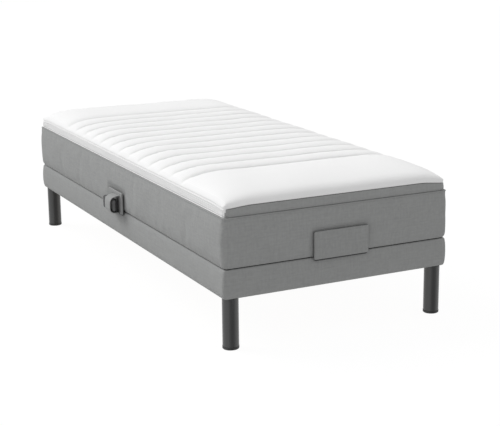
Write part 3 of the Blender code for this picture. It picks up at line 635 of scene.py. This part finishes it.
# near-black cloth inside the base's top edge: hides the frame, paints the gap's shade
gap_shade_cloth = woven("black_gap_shade", rgb(0.020, 0.020, 0.021), 0.0012)
strap_cloth = woven("strap_heather", shade(GREY, 1.06), 0.0016, heather=0.12)
white_knit = knitted("white_knit", rgb(0.862, 0.862, 0.862), 0.0030)
side_knit = knitted("white_side_band", rgb(0.79, 0.79, 0.79), 0.0024)
piping_knit = knitted("white_piping", rgb(0.90, 0.90, 0.90), 0.0016)
channel_knit = knitted("white_channel", rgb(0.60, 0.60, 0.60), 0.0016)
shell_plastic = moulded("shell_plastic", rgb(0.125, 0.126, 0.128), 0.42)
back_plastic = moulded("shell_back_plastic", rgb(0.028, 0.028, 0.029), 0.48)
# near-black plastic on the remote's head end: painted shade where it shows past the strap
shaded_end_plastic = moulded("shell_end_painted_shade", rgb(0.006, 0.006, 0.006), 0.55)

# the finish of each shown CAD node: by the start of its name, or else by its slot
pine_across, pine_along = planed_pine("pine_across", 0), planed_pine("pine_along", 1)
PINE_FINISH = {
    "side_rail": pine_along,
    "head_rail": pine_across,
    "foot_rail": pine_across,
    "corner_block": planed_pine("pine_upright", 2),
}
SLOT_FINISH = {
    "leg_paint": painted_steel("leg_coat", rgb(0.060, 0.0615, 0.062), 0.24, gloss=0.48),
    "floor_cap_plastic": moulded("cap_plastic", rgb(0.030, 0.0305, 0.031), 0.55),
    "plywood": plywood("birch_plywood"),
    "black_steel": painted_steel("black_coat", rgb(0.022, 0.022, 0.023), 0.42),
    "zinc_steel": galvanised("zinc"),
    "actuator_plastic": moulded("motor_plastic", rgb(0.030, 0.031, 0.033), 0.50),
    "button_rubber": moulded("key_rubber", rgb(0.11, 0.11, 0.115), 0.70, texture=2200.0),
}


def finish_cad_nodes():
    """Gives each shown CAD node its procedural material."""
    for name, node in NODES.items():
        if node.hide_render:
            continue
        pines = [finish for start, finish in PINE_FINISH.items() if name.startswith(start)]
        for slot in node.material_slots:
            slot.material = pines[0] if pines else SLOT_FINISH[slot.material.name.split(".")[0]]


# ---- the topper ------------------------------------------------------------------------
TOPPER_MATERIALS = (white_knit, side_knit, band_cloth, piping_knit, seam_cloth, channel_knit)
SIDE, GREY_BAND, PIPING, SEAM, CHANNEL = range(1, 6)  # their numbers, after the white top's


def quilt_height(y):
    """How far the quilting rises above its seams at a place along the bed, from 0 to 1."""
    step = (y - FIRST_SEAM) / SEAM_PITCH
    share = np.clip(step - np.floor(step), 0, 1)
    puff = np.power(np.clip(4 * share * (1 - share), 0, 1), QUILT_SHAPE)
    beyond = np.maximum(FIRST_SEAM - y, y - SEAMS[-1])
    outside = 1 - np.exp(-np.maximum(beyond, 0) / QUILT_FADE)
    return np.where(beyond > 0, outside, puff)


def rounded(inward, reach, shape):
    """A rounded rise from 0 at an edge to 1 at that reach in from it."""
    inward = np.clip(inward / reach, 0, 1)
    return np.power(1 - np.power(1 - inward, shape), 1 / shape)


def crown_height(x, y, half):
    """The top's rise above its rim: it climbs from every edge and then levels."""
    least = 1e-3
    across = rounded(half[0] - np.abs(x), CROWN_REACH[0], CROWN_SHAPE)
    head = rounded(half[1] - y, CROWN_REACH[1], CROWN_SHAPE)
    foot = 0
    for share, reach, shape in (FOOT_RIM, FOOT_SLOPE):
        foot = foot + share * rounded(half[1] + y, reach, shape)
    across, along = np.maximum(across, least), np.maximum(head * foot, least)
    joined = np.power(across, -CROWN_JOIN) + np.power(along, -CROWN_JOIN) - 1
    flat = (across <= least) | (along <= least)
    return CROWN * np.where(flat, 0, np.power(joined, -1 / CROWN_JOIN))


def bead(inset, z, radius, first, last, steps):
    """Levels round a piping cord whose middle is at that inset and height."""
    return [
        (inset - radius * math.cos(a), z + radius * math.sin(a))
        for a in np.radians(np.linspace(first, last, steps))
    ]


def topper_levels():
    """The levels from the underside to the rim: a piping cord, a band with sewn channels
    and a seam round the top. Also the levels of the channels and of both seams."""
    low, high = TOPPER_LOW[2], TOPPER_SEAM
    band_low, band_high = low + 0.0050, high - 0.0034
    channel_section = (-0.0025, -0.0015, -0.0004, 0.0004, 0.0015, 0.0025)

    def leaning(z):
        return (BAND_LEAN * ((z - band_low) / (band_high - band_low)) ** 2, z)

    levels = [(0.012, low), (0.0030, low + 0.0002)]
    levels += bead(0.0002, low + 0.0018, 0.0015, -65, 65, 5)
    lower_seam = len(levels)
    levels += [(0.0050, low + 0.0040), (0.0004, band_low)]
    channels = []
    for z in np.linspace(band_low, band_high, CHANNEL_COUNT + 2)[1:-1]:
        channels += [len(levels) + 2, len(levels) + 3]
        levels += [leaning(z + dz) for dz in channel_section]
    levels += [(BAND_LEAN, band_high), (0.0018, high - 0.0018), (0.0040, high - 0.0010)]
    upper_seam = len(levels) - 1
    levels += [(0.0044, high - 0.0002), (0.0030, high + 0.0008), RIM_LEVEL]
    return levels, channels, (lower_seam, upper_seam)


def topper_grid(half):
    """Places across and along the topper: rows run along its seams, closest near each."""
    edge_steps = (0.006, 0.012, 0.019)
    shares = (0, 0.045, 0.12, 0.23, 0.36, 0.5, 0.64, 0.77, 0.88, 0.955)
    plain, plain_step = 0.05, 0.0125  # just past the first and the last seam
    foot_side, head_side = FIRST_SEAM - plain, SEAMS[-1] + plain
    ys = places(-half[1], -half[1] + 0.03, -half[1] + 0.12, foot_side, steps=edge_steps)
    ys += spaced(foot_side, FIRST_SEAM, plain_step)[1:-1]
    ys += [s + SEAM_PITCH * f for s in SEAMS[:-1] for f in shares]
    ys += spaced(SEAMS[-1], head_side, plain_step)[:-1]
    ys += places(head_side, half[1] - 0.12, half[1] - 0.03, half[1], steps=edge_steps[::-1])
    return graded(half[0], (0.03, 0.12), edge_steps[:2], 0.0165), ys


def sew_channels(points, level, channels, half):
    """Draws the long side bands in along their channels."""
    sideways = np.abs(points[:, 0]) > half[0] - 0.02
    ends = half[1] - np.abs(points[:, 1]) < 0.012
    points[np.isin(level, channels) & sideways & ~ends, 0] *= 1 - CHANNEL_DEPTH / half[0]


def plain_ends(points, level, lower_seam, half):
    """At the ends the band runs down to the mattress without piping."""
    from_side, inset = (h - np.abs(v) for v, h in zip(points.T, half))
    plain = smooth((from_side - 0.006) / 0.02) * (inset < 0.006)
    for k in range(1, lower_seam + 1):
        at = level == k
        wanted = 0.0018 if k == 1 else 0.0004
        points[at, 1] += (np.sign(points[:, 1]) * plain * (inset - wanted))[at]


def raise_top(points, top, inner):
    """Gives the top its crown, and draws its cover in along the quilting's seams."""
    x, y = points[top, 0], points[top, 1]
    edge = inner[0] - np.abs(x)
    fade = 0.50 + 0.50 * smooth(edge / QUILT_SIDES)
    start = smooth(edge / 0.010)  # the rim itself stays straight
    rise = crown_height(x, y, inner)
    lumps = wander(points[top][:, :2], wavelength=0.34, seed=3) * 0.0011 * start
    # the seams draw the cover in along its own normal, also where it turns down at the sides
    ahead = 0.004
    slope = (crown_height(np.maximum(np.abs(x) - ahead, 0), y, inner) - rise) / ahead
    drawn = QUILT_DEPTH * fade * start * (1 - quilt_height(y))
    steep = np.hypot(slope, 1)
    points[top, 2] = RIM_LEVEL[1] + rise - drawn / steep + lumps
    points[top, 0] -= np.sign(x) * drawn * slope / steep


def dip_corners(points, half):
    """Draws the cover down at its corners, fully from the seam up and not at the underside."""
    near_x, near_y = (
        smooth(1 - (h - np.abs(v)) / CORNER_DIP_REACH) for v, h in zip(points.T, half)
    )
    low = TOPPER_LOW[2]
    height = np.clip((points[:, 2] - low) / (TOPPER_SEAM - low), 0, 1)
    dip = np.where(points[:, 0] < 0, *CORNER_DIP)
    points[:, 2] -= dip * (near_x * near_y) * height


def colour_faces(mesh, level, seams, half):
    """The side bands are white above a dark seam and white piping, and the end bands are
    grey under a dark seam. The white reaches round the corners."""
    lower, upper = seams
    for face in mesh.polygons:
        k = [level[v] for v in face.vertices]
        if min(k) < 0 or max(k) > upper + 1:
            continue
        y = face.center.y
        if half[1] + MIDDLE[1] * np.sign(y) - abs(y) < WHITE_TURN:
            face.material_index = SEAM if min(k) >= upper - 1 else GREY_BAND
        elif lower in k:
            face.material_index = CHANNEL
        else:
            face.material_index = PIPING if max(k) < lower else SIDE


def pucker(mesh, inner):
    """Little gathers along each quilting seam, where the thread draws the cover in."""
    co = coordinates(mesh)
    x, y = (co[:, :2] - MIDDLE).T
    top = co[:, 2] > TOPPER_SEAM + 0.002
    step = (y - FIRST_SEAM) / SEAM_PITCH
    nearest = np.clip(np.round(step), 0, SEAM_COUNT - 1)
    off = (step - nearest) * SEAM_PITCH
    near = np.exp(-((off / 0.016) ** 2))
    flat = np.column_stack([x, nearest * 3.1 + off * 0.35])  # each seam gathers in its own way
    gather = wander(flat, GATHER_LENGTH, seed=5, terms=12)
    edge = smooth((inner[0] - np.abs(x)) / 0.02)
    co[top, 2] += (GATHER * gather * near * edge)[top]
    set_coordinates(mesh, co)


def topper():
    half = half_size(TOPPER_LOW, TOPPER_HIGH)
    inner = half - RIM_LEVEL[0]
    levels, channels, seams = topper_levels()
    points, faces, level = slab(*topper_grid(half), levels, TOPPER_CORNER)
    sew_channels(points, level, channels, half)
    plain_ends(points, level, seams[0], half)
    raise_top(points, level >= len(levels) - 1, inner)
    dip_corners(points, half)
    points[:, :2] += MIDDLE
    skin = made("topper_whole", points, faces, TOPPER_MATERIALS)
    colour_faces(skin.data, level, seams, half)
    subdivided(skin)
    pucker(skin.data, inner)
    lay_cloth(skin.data)
    three_pieces(skin, "topper")


# ---- the mattress ----------------------------------------------------------------------
def mattress_levels():
    """The levels of the mattress, and the first and the last one of its sides."""
    low, high = MATTRESS_LOW[2], MATTRESS_HIGH[2]
    bottom, top = low + 0.0022, high - 0.0062
    levels = [(0.030, low), (0.0080, low + 0.0002), (0.0052, low + 0.0008)]
    first = len(levels)
    for s in np.concatenate([[0, 0.03, 0.07, 0.12], np.linspace(0.18, 1, 12)]):
        low_round = 0.0046 * (1 - min(s / 0.08, 1)) ** 2
        bulge = 0.0038 * math.sin(math.pi * min(s * 1.03, 1.0)) ** 0.7
        levels.append((0.0006 + low_round - bulge, bottom + (top - bottom) * s))
    last = len(levels) - 1
    levels += [(0.0018, high - 0.0054)]
    levels += bead(0.0014, high - 0.0028, 0.0020, -60, 70, 5)
    levels += [(0.0050, high - 0.0004), (0.018, high - 0.0002)]
    return levels, first, last


def hollow_out(points, under, half):
    """Raises the underside where the mattress bends, to keep clear of the decks there."""
    fade, overlap, plain_side = 0.06, 0.02, 0.045
    hollow = under & (np.abs(points[:, 0]) < half[0] - plain_side)
    y = points[:, 1]
    for stretch, height in HOLLOWS:
        a, b = sorted(stretch)
        share = smooth((y - a + overlap) / fade) * smooth((b + overlap - y) / fade)
        points[hollow, 2] += (height * share)[hollow]


def behind_retainer(points, node, margin, side):
    """1 behind a retainer on that side, and 0 away from it."""
    low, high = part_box(node)
    share = np.ones(len(points))
    for axis in (1 - side, 2):
        v = points[:, axis]
        share *= smooth((v - low[axis] + margin) / margin)
        share *= smooth((high[axis] + margin - v) / margin)
    return share


def uneven_sides(co, half, soft, start, over):
    """Moves the four sides in and out by the values in soft. The movement sets in at start
    inside the outline and is full after that distance over."""
    for axis in (0, 1):
        v = co[:, axis] - MIDDLE[axis]
        out = smooth((np.abs(v) - half[axis] + start) / over)
        co[:, axis] += np.sign(v) * out * soft


def settle_mattress(mesh, half):
    """Slight unevenness in the tight cover, and flats where the retainers bear on it."""
    co = coordinates(mesh)
    tall = (co[:, 2] - MATTRESS_LOW[2]) / (MATTRESS_HIGH[2] - MATTRESS_LOW[2])
    middle = np.sin(np.pi * np.clip(tall, 0, 1))
    soft = wander(co, wavelength=0.30, seed=11) * 0.0011
    soft += wander(co * (1, 1, 0.45), wavelength=0.11, seed=12) * 0.0005
    uneven_sides(co, half, soft * middle, start=0.016, over=0.010)
    for node, axis in (("side_retainer", 0), ("foot_retainer", 1)):
        flat = MATTRESS_LOW[axis] + 0.0004
        share = behind_retainer(co, node, RETAINER_FLAT, axis)
        co[:, axis] += np.maximum(flat - co[:, axis], 0) * share
    set_coordinates(mesh, co)


def mattress():
    half = half_size(MATTRESS_LOW, MATTRESS_HIGH)
    levels, first, last = mattress_levels()
    xs = graded(half[0], (0.04,), (0.008,), 0.024)
    cuts = (KNEE_CUT, BACK_CUT)
    ys = graded(half[1], (0.04, 0.12), (0.008, 0.016), 0.021, 0.018, 0.021, through=cuts)
    points, faces, level = slab(xs, ys, levels, MATTRESS_CORNER)
    hollow_out(points, level == -1, half)
    points[:, :2] += MIDDLE
    skin = made("mattress_whole", points, faces, (cover_cloth,))
    blown_out(skin, held=(level <= first) | (level >= last))
    subdivided(skin)
    settle_mattress(skin.data, half)
    lay_cloth(skin.data)
    three_pieces(skin, "mattress")


# ---- the base's upholstery ---------------------------------------------------------------
def base_levels():
    """The sleeve's levels up its outside, over its edge and down inside, and the number of the
    one where its black lining starts: it hides the frame and paints the gap's shade."""
    low, high = BASE_LOW[2], BASE_HIGH[2]
    levels = [(0.0098, low + 0.0030), (0.0088, low + 0.0004)]
    levels += [(0.0052, low), (0.0018, low + 0.0022)]
    for s in np.linspace(0, 1, 11)[1:-1]:
        bulge = math.sin(math.pi * s) ** 0.55
        levels.append((0.0010 - 0.0054 * bulge, low + 0.004 + (high - low - 0.006) * s))
    levels += [(0.0008, high + 0.0002), (0.0026, high + 0.0018)]
    levels += [(0.0060, high + 0.0025), (0.0090, high + 0.0026)]
    shade_lining_start = len(levels) - 1
    levels += [(0.0140, high + 0.0018), (0.0266, high + 0.0016)]
    levels += [(0.0362, high + 0.0010), (0.0366, high - 0.0004)]
    levels += [(0.0300, high - 0.0014), (0.0140, high - 0.0017)]
    levels += [(0.0100, high - 0.0032), (0.0099, high - 0.05)]
    return levels, shade_lining_start


def settle_sleeve(mesh, half):
    """Slight unevenness in the cloth over the base's boards."""
    co = coordinates(mesh)
    tall = np.clip((co[:, 2] - BASE_LOW[2]) / (BASE_HIGH[2] - BASE_LOW[2]), 0, 1)
    soft = wander(co, wavelength=0.26, seed=31) * 0.0009
    soft += wander(co, wavelength=0.09, seed=32) * 0.0004
    uneven_sides(co, half, soft * np.sin(np.pi * tall), start=0.004, over=0.004)
    set_coordinates(mesh, co)


def base_upholstery():
    half = half_size(BASE_LOW, BASE_HIGH)
    levels, shade_lining_start = base_levels()
    xs, ys = (graded(h, (0.04,), (0.007,), 0.022) for h in half)
    points, faces, level = slab(xs, ys, levels, BASE_CORNER, open_ends=True)
    points[:, :2] += MIDDLE
    sleeve = made("base_upholstery", points, faces, (base_cloth, gap_shade_cloth))
    for face in sleeve.data.polygons:
        # faces from the lining's start on get the black cloth: painted shade in the gap
        face.material_index = int(min(level[v] for v in face.vertices) >= shade_lining_start)
    subdivided(sleeve)
    settle_sleeve(sleeve.data, half)
    lay_cloth(sleeve.data)
    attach(sleeve, "base")
    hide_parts(*COVERS)


# ---- retainers, strap and remote ---------------------------------------------------------
def stood_up(points, axis):
    """Turns a slab upright, so that its upper face looks along -axis."""
    turned = np.empty_like(points)
    turned[:, 1 - axis] = points[:, 0]
    turned[:, 2] = points[:, 1]
    turned[:, axis] = -points[:, 2]
    return turned


def outward(mesh):
    """Turns all faces of a closed mesh outward."""
    shape = bmesh.new()
    shape.from_mesh(mesh)
    bmesh.ops.recalc_face_normals(shape, faces=shape.faces)
    shape.to_mesh(mesh)
    shape.free()


def board_levels(thick):
    """The levels from a board's back to its stitched border, and the last of its dark lip's levels,
    which paints the shadow round the board.
    """
    levels = [(0.0022, -thick), (-0.0008, -thick + 0.0002)]
    levels += [(-0.0010, -thick + 0.0010), (0.0, -thick + 0.0014)]
    shadow_lip_end = len(levels) - 1
    levels += [(0.0004, -thick + 0.0020), (-0.0004, 0.0002)]
    levels += [(0.0006, thick - 0.0016), (0.0024, thick - 0.0002)]
    levels += [(0.0056, thick + 0.0003), (0.0066, thick - 0.0008), (BOARD_BORDER, thick + 0.0003)]
    return levels, shadow_lip_end


def fill_board(points, top, half):
    """Gives the board's outer face a slight swell inside its border, and some unevenness."""
    soft = (0.05, 0.035)  # how far in the swell keeps rising
    inside = [(h - BOARD_BORDER - np.abs(v)) / r for v, h, r in zip(points.T, half, soft)]
    u, v = np.clip(inside, 0, 1)
    swell = ((1 - (1 - u) ** 2.5) * (1 - (1 - v) ** 2.5))[top]
    uneven = wander(points[top][:, :2], wavelength=0.07, seed=41) * 0.0003
    points[top, 2] += 0.0012 * swell + uneven * swell


def board(name, node, body, axis, drop, trim=0.0):
    """A fabric-covered board with a stitched border, standing for a retainer's plain solid.
    Its outer face looks along -axis. It reaches lower than the solid by drop, and starts
    further along it by trim."""
    low, high = (np.array(c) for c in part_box(node))
    across = 1 - axis
    low[2] -= drop
    low[axis] = high[axis] - BOARD_THICKNESS[axis]
    low[across] += trim
    middle, size = (low + high) / 2, (high - low) / 2
    half, thick = (size[across], size[2]), size[axis]
    levels, shadow_lip_end = board_levels(thick)
    xs, ys = (graded(h, (0.02,), (0.005,), 0.008) for h in half)
    points, faces, level = slab(xs, ys, levels, BOARD_CORNER, BOARD_BAND)
    # the dark lip reaches down below the board, as painted shadow under it
    behind = (level > 0) & (level < shadow_lip_end) & (points[:, 1] < -half[1])
    points[behind, 1] -= SHADOW_LIP_DROP
    fill_board(points, level >= len(levels), half)
    piece = made(name, stood_up(points, axis) + middle, faces, (board_cloth, painted_shadow_cloth))
    # the lip's faces get the near-black cloth, painted shadow round the board
    for face in piece.data.polygons:
        face.material_index = int(max(level[v] for v in face.vertices) <= shadow_lip_end)
    outward(piece.data)
    subdivided(piece)
    lay_cloth(piece.data)
    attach(piece, body)
    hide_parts(node)


def strap_path(low, high):
    """The middle line of the strap: its upper tail on the board, and then a square bow."""
    board_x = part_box("side_retainer")[1].x - BOARD_THICKNESS[0] + 0.001
    reach = board_x - low.x - STRAP_THICKNESS / 2 - 0.0004
    rise = BOW_HEIGHT - STRAP_THICKNESS / 2 - 0.0003
    path = [Vector((board_x - 0.0016, 0, high.z - 0.0012 - 0.002 * k)) for k in range(6)]
    for i in range(BOW_STEPS + 1):
        angle = math.pi * i / BOW_STEPS
        power = 2 / (UPPER_SQUARE if angle < math.pi / 2 else LOWER_SQUARE)
        across = math.sin(angle) ** power if 0 < i < BOW_STEPS else 0.0
        up = math.copysign(abs(math.cos(angle)) ** power, math.cos(angle))
        z = low.z + BOW_HEIGHT + up * rise
        place = (board_x - across * reach, 0, z) if i else (board_x - 0.0026, 0, z + 0.0004)
        path.append(Vector(place))
    return path


def strap_profile(edge):
    """Places across the strap with shares of its half thickness: it is hemmed and stitched
    along both edges."""
    hem = ((0, 0.45), (0.0012, 0.98), (0.0035, 1.0), (0.0048, 0.72), (0.0062, 0.92))
    left = [(-edge + u, rise) for u, rise in hem]
    right = [(-u, rise) for u, rise in reversed(left)]
    return left + [(u, 0.92) for u in np.linspace(-edge + 0.012, edge - 0.012, 7)] + right


def strap():
    """The flat strap that holds the remote."""
    low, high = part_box("remote_loop")
    middle_y = (low.y + high.y) / 2
    path = strap_path(low, high)
    profile = strap_profile((high.y - low.y) / 2)
    points, faces = [], []
    for i, p in enumerate(path):
        tangent = (path[min(i + 1, len(path) - 1)] - path[max(i - 1, 0)]).normalized()
        normal = Vector((tangent.z, 0, -tangent.x))
        for side, row in ((1, profile), (-1, profile[::-1])):
            for u, rise in row:
                q = p + normal * (side * rise * STRAP_THICKNESS / 2)
                points.append((q.x, middle_y + u, q.z))
    ring = 2 * len(profile)
    last = (len(path) - 1) * ring
    for start in range(0, last, ring):
        for m in range(ring):
            n = (m + 1) % ring
            faces.append((start + m, start + n, start + ring + n, start + ring + m))
    faces.append(tuple(range(ring))[::-1])
    faces.append(tuple(range(last, last + ring)))
    piece = made("remote_strap", points, faces, (strap_cloth,))
    outward(piece.data)
    subdivided(piece)
    lay_cloth(piece.data)
    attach(piece, "base")
    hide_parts("remote_loop")


def remote_levels(thick):
    """The levels of the remote's two half shells, and that of the joint between them."""
    levels = [(0.0065, -thick), (0.0026, -thick + 0.0008)]
    levels += [(0.0007, -thick + 0.0028), (0.0, -thick + 0.0060)]
    levels += [(0.0002, -0.0022), (0.0006, -0.0014), (0.0014, -0.0010)]
    joint = len(levels) - 1
    levels += [(0.0014, -0.0002), (0.0, 0.0002), (-0.0002, 0.0012), (0.0, thick - 0.0070)]
    levels += [(0.0006, thick - 0.0030), (0.0026, thick - 0.0008)]
    levels += [(0.0060, thick), (0.0080, thick)]
    return levels, joint


def remote_body():
    """The remote's two half shells, with the joint between them and softly rounded ends."""
    low, high = (np.array(c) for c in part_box("remote_shell"))
    middle, size = (low + high) / 2, (high - low) / 2
    levels, joint = remote_levels(size[0])
    xs = graded(size[1], (0.018,), (0.0035,), 0.010)
    ys = graded(size[2], (0.018,), (0.0035,), 0.008)
    points, faces, level = slab(xs, ys, levels, REMOTE_CORNER, REMOTE_BAND)
    plastics = (shell_plastic, back_plastic, shaded_end_plastic)
    piece = made("remote_body", stood_up(points, 0) + middle, faces, plastics)
    for face in piece.data.polygons:
        back_half = min(level[v] for v in face.vertices) < joint
        # the head end gets the near-black plastic, as painted shade
        at_end = face.center.y > high[1] - REMOTE_SHADED_END
        face.material_index = 2 if at_end else int(back_half)
    outward(piece.data)
    subdivided(piece)
    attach(piece, "remote")
    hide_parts("remote_shell")


# ---- floor, light and camera -------------------------------------------------------------
def floor():
    """A white floor that glows by itself, so that only the shade on it shows."""
    s = Shader("floor_paper")
    grain = s.noise(s.place(), 3.0)
    s.finish(
        Base_Color=s.between(grain, rgb(0.046, 0.046, 0.046), rgb(0.050, 0.050, 0.050)),
        Roughness=1.0,
        Specular_IOR_Level=0.0,
        Emission_Color=WHITE_LIGHT,
        Emission_Strength=0.962,
    )
    far = FLOOR_REACH
    corners = [(-far, -far, 0), (far, -far, 0), (far, far, 0), (-far, far, 0)]
    sheet = made("floor", corners, [(0, 1, 2, 3)], (s.material,))
    sheet.visible_diffuse = False
    sheet.visible_glossy = False


def surround():
    """A white studio all round: cloth is lit a little more from the foot end, and glossy
    parts reflect a room that is dark at the foot end."""
    world = bpy.data.worlds.new("studio")
    bpy.context.scene.world = world
    world.use_nodes = True
    world.node_tree.nodes.clear()
    w = Nodes(world.node_tree)

    def glow(strength):
        return w.add("Background", {0: WHITE_LIGHT, 1: strength}).outputs[0]

    def either(ray, otherwise, chosen):
        return w.add("MixShader", {0: rays.outputs[ray], 1: otherwise, 2: chosen}).outputs[0]

    rays = w.add("LightPath", {})
    along = w.part(w.add("TexCoord", {}).outputs["Generated"], 1)
    room = glow(w.ranged(along, -1.0, 0.0, 0.69, 0.63))
    soft_boxes = glow(w.ranged(along, -0.90, -0.60, 0.05, 1.0))
    lit = either("Is Glossy Ray", room, soft_boxes)
    w.add("OutputWorld", {0: either("Is Camera Ray", lit, glow(1.0))})


def key_light():
    """A large soft lamp from the left and the head end."""
    sun = bpy.data.lights.new("soft_key", "SUN")
    sun.energy = 0.64 * math.pi
    sun.angle = math.radians(38)
    lamp = placed("soft_key", sun)
    lamp.rotation_mode = "QUATERNION"
    lamp.rotation_quaternion = Vector((-0.47, 0.61, 0.64)).to_track_quat("Z", "Y")


def camera():
    """The photo's own view: from the foot end, a little to the left and above."""
    lens = bpy.data.cameras.new("camera")
    lens.sensor_width = 36
    lens.lens = 90.86
    lens.shift_x = -0.10
    lens.clip_start, lens.clip_end = 0.05, 100
    azimuth, elevation, distance = math.radians(-28.548), math.radians(14.007), 4.647
    level = math.cos(elevation)
    back = Vector((math.sin(azimuth) * level, -math.cos(azimuth) * level, math.sin(elevation)))
    aim = Vector((MIDDLE[0] - 0.0222, MIDDLE[1] - 0.7472, 0.385))
    eye = placed("camera", lens)
    eye.location = aim + back * distance
    eye.rotation_mode = "QUATERNION"
    eye.rotation_quaternion = (-back).to_track_quat("-Z", "Y")
    bpy.context.scene.camera = eye


topper()
mattress()
base_upholstery()
board("side_retainer_board", "side_retainer", "base", 0, 0.0045, trim=0.0220)
board("foot_retainer_board", "foot_retainer", "calf_section", 1, 0.0020)
strap()
remote_body()
finish_cad_nodes()

bpy.context.scene.view_settings.view_transform = "Standard"
floor()
surround()
key_light()
camera()
